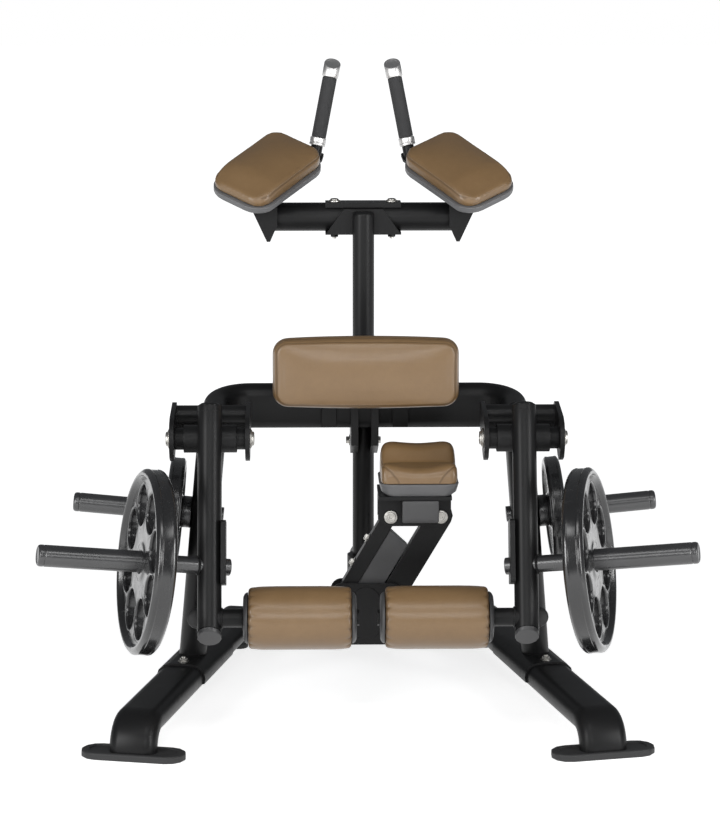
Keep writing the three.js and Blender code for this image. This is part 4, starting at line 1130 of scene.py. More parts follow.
@dataclass(frozen=True)
class Board:
    """A board-backed pad: drawn-in sides, a rolled shoulder and a crowned face."""

    axes: Axes
    width: float
    height: float
    corner: float
    thickness: float
    crown: float
    edge: float
    arch: float = 0.0
    shrink: float = 1.5
    slope: float = 0.0
    slope_run: float = 80.0

    def outline(self, inset: float) -> np.ndarray:
        """Outline at a distance inside the widest one; its height falls by the arch to the ends."""
        p = soft_rectangle(
            self.width - 2 * inset, self.height - 2 * inset,
            max(self.corner - inset, self.corner / 4), per_corner=14, per_side=16)
        fall = 1 - self.arch * (2 * p[:, 0] / self.width) ** 2
        return np.stack([p[:, 0], p[:, 1] * fall], axis=-1)

    def skin(self) -> Skin:
        """Outline carried up a side that bulges and rolls over, then drawn in over the crown.

        The side's inset follows a smooth curve of its height. Over the crown the outline is scaled
        by a share s. Its height is the side's plus the crown times (1 - x^2)(1 - y^2), x and y
        being shares of the half sizes, less the edge's own product times s^6. Towards the near end
        all heights fall by the slope's share, along t^2 (3 - 2 t).
        """
        side = self.thickness - self.crown
        turn = (np.sin((np.linspace(0, 1, 22) - 0.5) * math.pi) + 1) / 2
        inset = spline(
            [0, 0.16, 0.4, 0.64, 0.85, 0.97, 1.0], [0.22, 0.05, 0.0, 0.05, 0.26, 0.6, 0.92], turn)
        rings = [
            raised(self.outline(self.shrink + share * self.edge), height * side)
            for share, height in zip(inset, turn)
        ]
        outer = rings[-1][:, :2]
        full = np.abs(outer).max(axis=0)

        def crowned(s: float) -> np.ndarray:
            """Height over the side at a share of the outline."""
            swell = np.prod(1 - (outer * s / full) ** 2, axis=1)
            return self.crown * (swell - s ** 6 * np.prod(1 - (outer / full) ** 2, axis=1))

        shares = [*np.cos(np.linspace(0, math.pi / 2, 14)[1:-1]), 0.0]
        crown = [np.column_stack([outer * s, side + crowned(s)]) for s in shares]
        floor = [raised(rings[0][:, :2] * s, 0.0) for s in (0.0, 0.5, 0.85)]
        points = np.stack([*floor, *rings, *crown])
        t = np.clip((self.slope_run - self.height / 2 - points[..., 1]) / self.slope_run, 0, 1)
        points[..., 2] *= 1 - self.slope * t * t * (3 - 2 * t)
        return grid(self.axes.place(points))

    def line(self, inset: float, height: float) -> np.ndarray:
        """The outline at an inset and a height over the base, as a guide for a seam."""
        p = self.outline(inset)
        p = np.concatenate([p, p[:1]])
        run = lengths(p)
        return self.axes.place(raised(traced(p, run, np.linspace(0, 1, 240) * run[-1]), height))


THIGH_PAD = Board(
    Axes((0, 135 + SHIFT, 855), (1, 0, 0), (0, 0, 1), (0, -1, 0)),
    width=452, height=180, corner=38, thickness=65, crown=9, edge=16, arch=0.08)
ELBOW_PAD = Board(
    Axes((-238.99, 230.76, 1301.76), (0.79512, -0.51007, -0.32805),
         (0.60576, 0.69386, 0.38937), (0.02901, -0.50831, 0.86068)),
    width=170, height=268, corner=42, thickness=52, crown=11, edge=17, slope=0.38)


@dataclass
class ThighRest:
    """Wide pad on its board, with a perimeter seam and a joint at the middle of its lower edge."""

    tailor: Tailor

    def build(self) -> None:
        """Makes the pad and its seams."""
        pad = THIGH_PAD
        flap = np.stack(
            [np.linspace(0, 30, 30), np.full(30, -92.0), np.linspace(44, 50, 30)], axis=-1)
        guides = [pad.line(9.5, 54), pad.line(-2, 36), pad.axes.place(flap)]
        obj = self.tailor.cushion(
            "thigh_cushion", pad.skin(), "thigh_pad", pad.axes, guides, depth=1.3, width=2.6)
        self.tailor.stitches("thigh_stitches", obj, [pad.line(14.5, 60)], "thigh_pad")


@dataclass
class ElbowRest:
    """Slanted pad in a shallow tray, with the long sides sewn to the top panel."""

    tailor: Tailor
    side: Side

    def seams(self, lift: float = 0.0) -> list[np.ndarray]:
        """Guides of the two side seams: up from the near corner, along the side, down again.

        Args:
            lift: how far the guides are raised for the stitches beside the seams.
        """
        half, long = ELBOW_PAD.width / 2, ELBOW_PAD.height / 2
        x = half - np.array([46, 24, 9, 2.5, 2.5, 3, 12, 34])
        y = [8 - long, 24 - long, 46 - long, 70 - long, 0, long - 60, long - 34, long - 14]
        z = [2.0, 13.0, 24.0, 30.0, 31.0, 31.0, 28.0, 24.0]
        return [
            (ELBOW_PAD.axes.place(curve([sign * x, y, z], 160)) + [0, 0, lift]) * self.side.flip
            for sign in (-1, 1)
        ]

    def build(self) -> None:
        """Makes the pad and its seams."""
        node = self.side.of("elbow_pad")
        obj = self.tailor.cushion(
            self.side.of("elbow_cushion"), ELBOW_PAD.skin().on(self.side), node,
            ELBOW_PAD.axes.on(self.side), self.seams(), depth=1.2, width=2.4)
        self.tailor.stitches(self.side.of("elbow_stitches"), obj, self.seams(4.5), node)


@dataclass
class KneeRest:
    """Saddle pad: a front lip, a dip and a higher back, with two curved panel seams in front."""

    tailor: Tailor
    centre: Triple = (125.5, -126.0855, 602.6)
    width: float = 183.0
    depth: float = 180.0
    lip: float = 53.0
    dip: float = 37.0
    hump: float = 81.0
    corner: float = 20.0
    lip_sag: float = 0.34
    hump_sag: float = 0.05

    def skin(self) -> Skin:
        """Rings across the pad carried from front to back.

        The ring at a share of the depth is a fixed half-round outline, its height the smooth curve
        of lip, dip and hump times 1 - sag (1 - x^2), and its half width drawn in at both ends.
        """
        run = [0, 0.02, 0.06, 0.12, 0.2, 0.3, 0.38, 0.44, 0.52, 0.62, 0.74, 0.84, 0.92, 0.98, 1]
        lip = [0.42, 0.62, 0.84, 0.97, 1, 0.55, 0.1, 0, 0, 0, 0, 0, 0, 0, 0]
        dip = [0, 0, 0, 0, 0, 0.4, 0.9, 1, 0.65, 0.2, 0, 0, 0, 0, 0]
        hump = [0, 0, 0, 0, 0, 0, 0, 0, 0.32, 0.8, 1, 0.97, 0.84, 0.62, 0.42]
        inset = [0.7, 0.32, 0.12, 0, 0, 0, 0.02, 0.03, 0.02, 0, 0, 0.06, 0.2, 0.42, 0.75]
        top = np.array(lip) * self.lip + np.array(dip) * self.dip + np.array(hump) * self.hump
        share = (1 - np.cos(np.linspace(0, math.pi, 60))) / 2
        height = spline(run, top, share)
        sag = spline(run, np.array(lip) * self.lip_sag + np.array(hump) * self.hump_sag, share)
        half = self.width / 2 - spline(run, inset, share) * self.corner
        across = [0, -0.5, -0.94, -1, -1, -0.985, -0.94, -0.85, -0.68, -0.4, 0,
                  0.4, 0.68, 0.85, 0.94, 0.985, 1, 1, 0.94, 0.5, 0]
        up = [0, 0, 0, 0.12, 0.42, 0.66, 0.83, 0.94, 0.99, 0.985, 0.97,
              0.985, 0.99, 0.94, 0.83, 0.66, 0.42, 0.12, 0, 0, 0]
        knots = np.arange(len(across))
        at = np.linspace(0, len(across) - 1, 97)[:-1]
        x, z = spline(knots, across, at), np.maximum(spline(knots, up, at), 0)
        y = (share - 0.5) * self.depth
        points = np.stack([
            half[:, None] * x, y[:, None] + 0 * x,
            height[:, None] * z * (1 - sag[:, None] * (1 - np.minimum(x * x, 1))),
        ], axis=-1)
        middle = points.mean(axis=1, keepdims=True)
        bulge = np.array([0, -0.6, 0])
        shrunk = (0, 0.35, 0.7)
        front = [middle[:1] + (points[:1] - middle[:1]) * s + bulge * (1 - s) for s in shrunk]
        back = [
            middle[-1:] + (points[-1:] - middle[-1:]) * s - bulge * (1 - s) for s in shrunk[::-1]]
        return grid(np.concatenate([*front, points, *back]) + np.asarray(self.centre))

    def seams(self, inward: float = 0.0, lift: float = 0.0) -> list[np.ndarray]:
        """Guides of the two panel seams, moved towards the middle and up."""
        x = np.array([48, 56, 66, 78, 88, 91, 91, 90, 80])
        y = [-90, -90, -86, -78, -62, -30, 10, 50, 84]
        z = [3, 16, 28, 36, 38, 32, 40, 55, 44]
        return [
            curve([sign * x, y, z], 140) + self.centre - [sign * inward, 0, -lift]
            for sign in (-1, 1)
        ]

    def build(self) -> None:
        """Makes the pad and its seams."""
        obj = self.tailor.cushion(
            "knee_cushion", self.skin(), "knee_pad", Axes(self.centre), self.seams(),
            depth=1.0, width=2.2, filling=Filling(2.0, 3.5, 4.0), always_fine=True)
        self.tailor.stitches("knee_stitches", obj, self.seams(4.0, 1.5), "knee_pad",
                             pitch=4, long=2.8, radius=0.45)


@dataclass
class Roller:
    """Foam sleeve in a cover that is gathered at both ends, between two crowned discs."""

    shop: Workshop
    side: Side
    length: float = 241.9
    radius: float = 74.5
    bore: float = 31.0
    folds: int = 17
    sides: int = 216
    gather: float = 3.4
    tuck: float = 1.6
    gather_run: float = 13.0
    ripple: float = 0.35
    axes: Axes = Axes.sideways(-280.6, *ROLLER_LINE)

    def skin(self) -> Skin:
        """Cover of the roller as a function of angle and a run along its outline.

        The outline goes out over one end, along the cylinder and back. Near the ends a gather
        g = (1 - |sin(n a / 2)|^0.7), with n folds and a seeded size for each, draws it inwards.
        """
        end = np.array([
            (self.bore, 6.0), (self.bore + 3, 3.2), (42, 1.6), (52, 0.8), (60, 0.7), (66, 1.5),
            (69.5, 3.4), (71.6, 6.6), (72.4, 11), (72.9, 17), (73.6, 26), (74.2, 40),
            (self.radius, 70),
        ])
        at = np.linspace(0, len(end) - 1, 70)
        fine, away = (spline(np.arange(len(end)), column, at) for column in end.T)
        z = np.concatenate([away, self.length - away[::-1]])
        r = np.concatenate([fine, fine[::-1]])[:, None]
        share = np.arange(self.sides) / self.sides
        a = share * FULL
        chance = np.random.default_rng(7 if self.side is Side.LEFT else 11)
        sizes = 0.65 + 0.7 * chance.random((2, self.folds))
        drift = 0.5 * chance.random((2, 1))
        near = np.minimum(z, self.length - z)
        reach = np.exp(-(near / self.gather_run) ** 2)[:, None]
        first = z < self.length / 2
        phase = a[None, :] * self.folds / 2 + drift * math.pi
        gather = (1 - np.abs(np.sin(phase)) ** 0.7) * np.stack([
            np.interp(share * self.folds, np.arange(self.folds + 1) + 0.5, np.append(s, s[0]))
            for s in sizes])
        pull = gather[np.where(first, 0, 1)] * reach
        sink = self.tuck * pull * np.clip((r - 40) / 30, 0, 1)
        depth = z[:, None] + np.where(first, 1, -1)[:, None] * sink
        wave = self.ripple * np.sin(3 * a[None, :] + z[:, None] / 31.0) * (1 - reach)
        radius = r - self.gather * pull * (r > 50) + wave - 0.3
        return grid(self.axes.place(polar(radius, a, depth))).on(self.side)

    def core(self) -> Skin:
        """Core tube with its two crowned discs."""
        half = [
            (13.6, -8.0), (20, -12.0), (50, -11.0), (57, -7.5), (60, -3.0), (60, -0.4), (30, -0.4)]
        return lathe(both_ends(half, self.length), self.axes, 72, 2.0)

    def build(self) -> None:
        """Makes the cover, the painted shade in its gathered ends and the core."""
        cover = self.shop.raw(self.side.of("roller_cover"), self.skin())
        # Painted shade: the cover darkens where its gathered ends are drawn in.
        local = vectors(cover.data) / MM * self.side.flip - np.asarray(self.axes.origin)
        near = np.minimum(local[:, 0], self.length - local[:, 0])
        lack = np.clip((72.2 - np.hypot(local[:, 1], local[:, 2])) / 3.5, 0, 1)
        mark_painted_shade(cover.data, lack * np.exp(-(near / 15.0) ** 2) * 0.8)
        self.shop.dress(
            cover, self.side.of("roller_pad"), Slot.SKIN, replaces=True, sharp=ALL_SMOOTH)
        self.shop.pair(self.side, "roller_discs", self.core(), "roller_core", Slot.PLASTIC,
                       replaces=True, material=self.shop.paints.end_cap)


# Weight plates and horns.


WORK = Axes((-371.0, -347.589, 436.955), (0.25882, -0.96593, 0), (0.12273, 0.03289, 0.99189),
            (-0.95810, -0.25672, 0.12706))
STORE = Axes((-394.03, 0.61, 488.0), (0, -1, 0), (0.09585, 0, 0.99540), (-0.99540, 0, 0.09585))
LARGE_PLATE, SMALL_PLATE = WORK.moved(126.3), STORE.moved(56.6)


@dataclass
class HoledPlate:
    """Large plate: a rolled rim, a thinner web with eight round grips, and a hub."""

    shop: Workshop
    side: Side
    radius: float = 217.0
    thickness: float = 50.0
    rim: float = 18.0
    web: float = 26.0
    bore: float = 26.2
    hub: float = 42.0
    hole: float = 47.0
    circle: float = 135.0
    holes: int = 8
    arc: int = 22
    spoke: int = 12

    def edge(self, outer: float, inner: float) -> np.ndarray:
        """Border of one sector as seen from its hole: outer arc, far side, inner arc, near side."""
        half = math.pi / self.holes
        a = np.linspace(-half, half, self.arc + 1)[:-1]
        r = np.linspace(outer, inner, self.spoke + 1)
        straight = 0 * r[:-1]
        radii = np.concatenate([outer + 0 * a, r[:-1], inner + 0 * a, r[:0:-1]])
        angles = np.concatenate([a, half + straight, -a, straight - half])
        return np.stack([radii * np.cos(angles), radii * np.sin(angles)], axis=-1)

    def skin(self) -> Skin:
        """Sectors round the holes, with the rim and the hub turned at the same angles.

        In a sector each border point B faces the hole's middle C. The rows run from B towards C to
        the hole's lip, round it, through the wall and back out to B on the other face, so a point
        is C + (B - C) scaled to the row's distance, at the row's height.
        """
        full = self.thickness
        outer, inner = self.radius - self.rim - 7, self.hub + 7
        low, high = (full - self.web) / 2, (full + self.web) / 2
        centre = np.array([self.circle, 0.0])
        away = self.edge(outer, inner) - centre
        dist = np.linalg.norm(away, axis=1, keepdims=True)
        unit = away / dist
        lip = self.hole + 4.0
        front = [
            (lip + (dist - lip) * s, high + 1.4 * math.exp(-((s - 0.1) / 0.2) ** 2) * (s < 0.9))
            for s in (1.0, 0.75, 0.5, 0.25, 0.1)
        ]
        wall = eased([
            (lip + 1.5, high + 1.4), (self.hole + 1.2, high + 0.6), (self.hole, high - 5),
            (self.hole, low + 5), (self.hole + 1.2, low - 0.6), (lip + 1.5, low - 1.4),
        ], 3.2, 5)
        back = [(d, full - z) for d, z in front[::-1]]
        sector = np.stack([
            np.concatenate([centre + unit * d, np.full_like(dist, z)], axis=1)
            for d, z in [*front, *wall, *back]
        ])
        sectors = []
        for i in range(self.holes):
            t = (i + 0.5) / self.holes * FULL
            cos, sin = math.cos(t), math.sin(t)
            spin = np.array([[cos, sin, 0], [-sin, cos, 0], [0, 0, 1]])
            sectors.append(grid(LARGE_PLATE.place(sector @ spin)))
        tyre = eased(both_ends([
            (outer, high), (outer + 5, full - 3), (outer + 9, full), (self.radius - 9, full),
            (self.radius - 1, full - 7), (self.radius, full - 13), (self.radius - 1.2, full - 15),
        ], full), 3.5, 5)
        boss = eased([
            (inner, low), (self.hub + 2, 2), (self.hub - 3, 0), (self.bore + 3, 0), (self.bore, 3),
            (self.bore, high), (self.bore + 3, high + 3), (self.hub - 3, high + 3),
            (self.hub + 2, high + 1.5), (inner, high),
        ], 2.5, 4)
        angles = np.concatenate([
            (i / self.holes + np.arange(self.arc) / self.arc / self.holes) * FULL
            for i in range(self.holes)])
        rounds = [grid(LARGE_PLATE.place(polar(p[:, :1], angles, p[:, 1:]))) for p in (tyre, boss)]
        return Skin.joined([*sectors, *rounds])

    def build(self) -> None:
        """Makes the plate."""
        self.shop.pair(
            self.side, "large_plate", self.skin(), "working_plate", Slot.PLATE, replaces=True)


@dataclass
class SmallPlate:
    """Small plate: a rolled rim, a dished web and a hub."""

    shop: Workshop
    side: Side
    radius: float = 132.0
    thickness: float = 38.0

    def build(self) -> None:
        """Makes the plate."""
        r, t = self.radius, self.thickness
        profile = both_ends([
            (24.2, t), (38, t), (46, t - 6), (70, t - 7.5), (100, t - 7), (110, t - 6), (116, t),
            (125, t), (r - 0.5, t - 5), (r, t - 9), (r - 0.8, t - 11),
        ], t)
        skin = lathe([*profile, profile[0]], SMALL_PLATE, 128, 2.2)
        self.shop.pair(self.side, "small_plate", skin, "storage_plate", Slot.PLATE, replaces=True)


@dataclass
class Horns:
    """Loading sleeves with their collars and capped tips."""

    shop: Workshop
    side: Side

    @staticmethod
    def profile(root: float, start: float, collar: float, face: float, collar_radius: float,
                sleeve: float, tip: float) -> list[tuple[float, float]]:
        """Outline of a horn: root, collar, sleeve, a groove behind the cap and a domed end."""
        return [
            (POLE, start), (root, start), (root, face - collar), (collar_radius, face - collar),
            (collar_radius, face), (sleeve, face), (sleeve, tip - 17), (sleeve - 0.9, tip - 16),
            (sleeve - 0.9, tip - 14.6), (sleeve, tip - 13.6), (sleeve, tip - 6),
            (sleeve - 1.6, tip - 2), (sleeve - 5, tip), (sleeve - 7, tip - 0.4),
            (sleeve - 8, tip - 1.6), (POLE, tip - 1.8),
        ]

    def build(self) -> None:
        """Makes both horns of one side and the weld at the arm."""
        work = lathe(self.profile(20, -49, 14, 126, 34, 25.5, 408), WORK, 64, 1.4)
        store = lathe(self.profile(19, -46, 22, 56.3, 39, 23.5, 324), STORE, 64, 1.4)
        for name, skin, node in (
                ("work_sleeve", work, "working_horn"), ("store_sleeve", store, "storage_horn")):
            self.shop.pair(self.side, name, skin, node, Slot.PAINT, replaces=True,
                           material=self.shop.paints.sleeve)
        bead = weld_ring(WORK, radius=21.0, height=27.5, count=160, bead=2.6, seed=3)
        self.shop.pair(self.side, "work_weld", bead, "working_horn", Slot.PAINT)


# Tubes.


TOE = math.radians(12.5)
RAIL_FOOT = (-549.0, -435.0855)
RAIL_BACK = 1022.0
RAIL_HEIGHT = 75
BOW_TILT = math.radians(8.5)
BOW = Axes((0, 285 + SHIFT, 745), (1, 0, 0), (0, math.cos(BOW_TILT), math.sin(BOW_TILT)),
           (0, -math.sin(BOW_TILT), math.cos(BOW_TILT)))
PIVOT = Axes.sideways(-371, SHIFT, 715)


def on_rail(back: float, height: float) -> Triple:
    """Point over the left rail's middle line, at a distance behind its front end."""
    run = back / math.cos(TOE)
    return (RAIL_FOOT[0] + run * math.sin(TOE), RAIL_FOOT[1] + run * math.cos(TOE), height)


@dataclass
class Tubes:
    """Smooth skins of the long tubes, drawn over the frame's faceted ones."""

    shop: Workshop
    grow: float = 0.12

    def rail(self) -> Skin:
        """Floor rail: a flat oval up from the foot, round a bend and back along the floor."""
        axes = Axes((*RAIL_FOOT, 0), (math.sin(TOE), math.cos(TOE), 0), (0, 0, 1),
                    (math.cos(TOE), -math.sin(TOE), 0))
        run = RAIL_BACK / math.cos(TOE)
        path = route([(0, 15.3), (0, RAIL_HEIGHT), (run, RAIL_HEIGHT)], 59.6, 20)
        return swept(oval(114, 60), path, axes)

    def bow(self) -> Skin:
        """Thigh bow: a flat oval round two wide bends in a tilted plane."""
        half, reach = 365, 149 / math.cos(BOW_TILT)
        path = route([(-half, -reach), (-half, 0), (half, 0), (half, -reach)], 85, 26)
        return swept(oval(114, 60), path, BOW)

    def spine(self) -> Skin:
        """Spine: a flat oval back from the knee base and down to the rear tube."""
        front, level = 111.3, 262
        run = 740 - front
        path = route([(0, level), (run, level), (run, 105.3)], 156.6, 24)
        section = oval(66 + 2 * self.grow, 124 + 2 * self.grow)
        return swept(section, path, Axes((0, front + SHIFT, 0), (0, 1, 0), (0, 0, 1), (1, 0, 0)))

    def upright(self) -> Skin:
        """Upright: a flat oval on a leaning line, each edge ending on the bow's underside."""
        foot, top = np.array([-431, 318 + SHIFT, 115.0]), np.array([-375, 160 + SHIFT, 680.0])
        up = units(top - foot)
        section = oval(68 + 2 * self.grow, 108 + 2 * self.grow, 64)
        ring = Axes.aimed(foot, up, (0, 1, 0)).place(raised(section, -10.0))
        normal = np.array(BOW.out)
        origin = np.array(BOW.origin) - normal * 57.5
        high = ring + ((origin - ring) @ normal / (up @ normal))[:, None] * up
        levels = np.linspace(0, 1, 12)[:, None, None]
        return grid(ring[None] * (1 - levels) + high[None] * levels)

    def build(self) -> None:
        """Makes the tubes."""
        for side in Side:
            self.shop.pair(side, "floor_rail", self.rail(), "rail", Slot.PAINT, replaces=True)
            self.shop.pair(side, "upright_tube", self.upright(), "side_frame", Slot.PAINT)
        self.shop.make("thigh_bow_tube", self.bow(), "thigh_bow", Slot.PAINT, replaces=True)
        self.shop.make("spine_tube", self.spine(), "spine", Slot.PAINT)


@dataclass
class SwingArm:
    """Arm tube with its domed top, hub, spacers and slanted foot."""

    shop: Workshop
    side: Side
    radius: float = 28.62
    lean: float = math.radians(18)
    offset: float = 42.0
    top: float = 70.0
    dome: float = 11.0
    foot: float = -480.0
    slant: float = math.radians(28.5)
    bore: float = 13.8

    def axes(self) -> Axes:
        """Frame of the left arm: across, back, and up the tube."""
        up = np.array([0, math.sin(self.lean), math.cos(self.lean)])
        back = np.array([0, math.cos(self.lean), -math.sin(self.lean)])
        origin = np.array(PIVOT.origin) - self.offset * back
        return Axes(tuple(origin), (1, 0, 0), tuple(back), tuple(up))

    def tube(self) -> Skin:
        """Tube with a round top and a foot cut on a slant.

        The foot's height at angle a is the lowest one plus the tangent of the slant times the
        distance in front of the back edge.
        """
        a = turns(64)
        foot = self.foot - (self.radius * np.sin(a) - 28.5) * math.tan(self.slant)
        wall = [polar(self.radius, a, foot * (1 - s) + self.top * s) for s in np.linspace(0, 1, 10)]
        dome = [
            polar(self.radius * math.cos(t), a, self.top + self.dome * math.sin(t))
            for t in np.linspace(0, math.pi / 2, 9)[1:]
        ]
        return grid(self.axes().place(np.stack([*wall, *dome])))

    def build(self) -> None:
        """Makes the arm's smooth parts."""
        hub = rod(33.1, -63, 63, PIVOT, 64, 2.0, inner=self.bore)
        space = rod(26.1, -84.7, 82.7, PIVOT, 56, 1.0, inner=self.bore)
        shaft = Axes.sideways(-371, *ROLLER_LINE)
        stub = rod(21.6, 0, 77.9, shaft, 48, 1.0)
        ring = [(28.6, 0), (29.1, 0.6), (29.1, 2.0), (28.6, 2.6)]
        band = lathe(ring, self.axes().moved(58), 64, 0.4)
        weld = weld_ring(shaft, radius=22.4, height=29.5, count=150, bead=2.2, seed=21)
        for name, skins in (
                ("arm_tube", [self.tube(), hub, space, stub]), ("arm_band", [band, weld])):
            self.shop.pair(self.side, name, Skin.joined(skins), "swing_arm", Slot.PAINT)


@dataclass
class Handles:
    """Upright grips: post, bright collar, foam sleeve and a slanted bright cap."""

    shop: Workshop
    side: Side
    axes: Axes = Axes((-120.01, 345.19, 1339.07), (0.9818, 0, -0.1899),
                      (-0.02059, 0.9941, -0.10647), (0.18878, 0.10845, 0.97601))
    post: float = 27.0
    collar: float = 47.6
    foam: float = 18.5
    ribs: int = 78
    cap: float = 202.6
    cap_radius: float = 21.0
    front_edge: float = 224.0
    slant: float = math.radians(33)

    def cap_skin(self) -> Skin:
        """Cap above the grip: a tube whose mouth is cut on a slant and dished inside.

        The mouth's height at angle a is the front edge's plus the tangent of the slant times the
        distance behind that edge.
        """
        radius, a = self.cap_radius, turns(48)
        level = [(1.0, self.cap), (radius - 0.6, self.cap), (radius, self.cap + 0.8)]
        slanted = [
            (radius, -0.9), (radius - 0.9, 0.7), (radius - 3.0, 0.7), (radius - 3.8, -0.2),
            (radius - 5.0, -2.6), (1.0, -3.4),
        ]
        rows = [polar(r, a, h) for r, h in level]
        for r, h in slanted:
            mouth = self.front_edge + (r * np.sin(a) + radius) * math.tan(self.slant)
            rows.append(polar(r, a, mouth + h))
        return grid(self.axes.place(np.stack(rows)))

    def build(self) -> None:
        """Makes the metal and the foam."""
        low, high = self.post, self.collar
        post = rod(15, -8, low, self.axes, 40, 0.8)
        collar = lathe([
            (POLE, low), (19.6, low), (20.5, 28), (20.5, 33), (19.8, 34), (20.5, 35), (20.5, 46),
            (19.6, high), (POLE, high),
        ], self.axes, 48, 0.8)
        metal = Skin.joined([collar, self.cap_skin()])
        self.shop.pair(self.side, "handle_metal", metal, "handle", Slot.CHROME, replaces=True)
        self.shop.pair(self.side, "handle_post", post, "handle", Slot.PAINT)
        z = np.linspace(48.4, 201.4, self.ribs)
        rib = self.foam - 0.22 * (np.arange(self.ribs) % 2)
        ends = np.minimum(1.0, np.minimum(z - 47.0, self.cap - z) / 3.0)
        inner = 11.5
        foam = [(inner, 48.3), *zip(rib - 1.2 * (1 - ends), z), (inner, 201.6), (inner, 48.3)]
        sleeve = lathe(foam, self.axes, 56, 0.0)
        self.shop.pair(self.side, "grip_foam", sleeve, "grip", Slot.GRIP, replaces=True)


@dataclass
class Fittings:
    """Bolts, washers, pivot caps, bumpers and end plugs."""

    shop: Workshop
    bar_back: float = 478 + SHIFT
    column_back: float = 430 + SHIFT

    def pivots(self, side: Side) -> None:
        """Bright stepped caps on both ends of an arm's pivot."""
        steps = [
            (POLE, 0), (23.5, 0), (23.5, 2.8), (20.5, 3.2), (20.5, 4.4), (17.0, 5.0), (16.2, 8.6),
            (13.0, 10.0), (9.0, 10.0), (8.2, 7.0), (POLE, 6.8),
        ]
        caps = [lathe([(r, face + sign * z) for r, z in steps], PIVOT, 56, 0.7)
                for sign, face in ((1, 94.3), (-1, -96.3))]
        shaft = rod(13, -97, 97, PIVOT, 32, 0.5)
        self.shop.pair(side, "pivot_caps", Skin.joined([*caps, shaft]), "pivot_shaft", Slot.ZINC,
                       replaces=True)

    def bumper(self, side: Side) -> None:
        """Rubber dome that the arm rests on."""
        axes = Axes((-402.0, -357.13, 314.40), (0, 0.30902, 0.95106), (1, 0, 0),
                    (0, 0.95106, -0.30902))
        radius = 23.4
        dome = [(max(POLE, radius * math.sin(t)), 11 * (1 - math.cos(t)) + 0.1)
                for t in np.linspace(0, math.pi / 2, 9)]
        skin = lathe([*dome, (radius, 20.5), (21.5, 22), (POLE, 22)], axes, 48, 0.8)
        self.shop.pair(side, "stop_dome", skin, "bumper", Slot.RUBBER, replaces=True)

    def rear_foot(self, side: Side) -> None:
        """Turned rubber foot with a grooved side."""
        skin = lathe([
            (POLE, 0), (24.5, 0), (26, 2), (26, 12), (24.6, 14), (24.6, 17), (26, 19), (25.2, 42),
            (23.5, 44.7), (POLE, 44.7),
        ], Axes((-329.79, 553.72, 0)), 56, 1.0)
        self.shop.pair(side, "rear_foot_rubber", skin, "rear_foot", Slot.RUBBER, replaces=True)

    def saddle_bolt(self, side: Side) -> None:
        """Bolt with a washer on top of the rail's saddle, in front of the upright."""
        axes = Axes(on_rail(440.0, 110.8))
        tip = lathe([(POLE, 9), (5.0, 9), (5.0, 12.5), (POLE, 13.2)], axes, 24, 0.5)
        self.shop.pair(side, "saddle_bolt", Skin.joined([bolt(axes, 9.5, 7.0, 14.0), tip]),
                       "side_frame", Slot.ZINC)

    def bar(self) -> None:
        """Elbow bar with its plugged ends and the bolts through its cap."""
        tube = rod(35.8, -229.5, 229.5, Axes.sideways(0, self.bar_back, 1193.2), 64, 1.6)
        self.shop.make("elbow_bar_tube", tube, "elbow_bar", Slot.PAINT, replaces=True)
        washer = [(POLE, 0), (16.2, 0), (15.6, 3.2), (POLE, 3.4)]
        nut = [(POLE, 3.2), (11.2, 3.2), (10.8, 6.2), (7.4, 8.2), (POLE, 8.8)]
        tip = [(POLE, 8), (5.2, 8), (5.2, 14), (POLE, 14.6)]
        parts = []
        for x in (-72, 72):
            top = Axes((x, self.bar_back, 1231.4))
            low = Axes.aimed((x, self.bar_back, 1152.2), (0, 0, -1), (0, 1, 0))
            parts += [lathe(washer, top, 40, 0.7), lathe(nut, top, 40, 1.2),
                      bolt(low, 9.5, 8.0, 12.5), lathe(tip, low, 24, 0.5)]
        self.shop.make("elbow_bar_bolts", Skin.joined(parts), "elbow_bar_cap", Slot.ZINC)

    def column(self) -> None:
        """Round column, its foot collar and the yoke bolts."""
        axes = Axes((0, self.column_back, 0))
        foot = 262
        tube = lathe([
            (POLE, foot), (27.1, foot), (27.1, 1202.7), (26.0, 1207.2), (21, 1209.7), (12, 1210.8),
            (POLE, 1211),
        ], axes, 64, 2.0)
        collar = rod(41.1, 334.2, foot, axes, 64, 1.0)
        self.shop.make("column_tube", Skin.joined([tube, collar]), "column", Slot.PAINT)
        faces = [Axes.aimed((x, self.column_back, 630.5), (x, 0, 0)) for x in (-34.1, 34.1)]
        bolts = [bolt(face, 9.5, 8.0, 13.5) for face in faces]
        self.shop.make("yoke_bolts", Skin.joined(bolts), "column_clamp", Slot.ZINC)

    def knee_pins(self) -> None:
        """Socket-headed pins at the four ends of the links."""
        for level, z, xs in (("lower", 311.0, (-60.3, 60.9)), ("upper", 512.41, (58.82, 180.02))):
            for side, x in zip(Side, xs):
                node = side.of(f"knee_pin_{level}")
                low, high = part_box(node)
                end = (low.y - high.y) / MM
                skin = lathe([
                    (POLE, -3.4), (3.4, -3.4), (3.9, -1.2), (7.8, -1.2), (8.3, 0.2), (11.4, 0.2),
                    (12.2, -1.0), (15.4, -1.2), (16.5, -2.2), (16.5, -5.8), (10, -6.0),
                    (10, end + 6.0), (16.5, end + 6.0), (16.5, end + 1.0), (14.9, end), (POLE, end),
                ], Axes.aimed((x, low.y / MM, z), (0, -1, 0)), 40, 0.6)
                self.shop.make(f"{node}_turned", skin, node, Slot.ZINC, replaces=True)

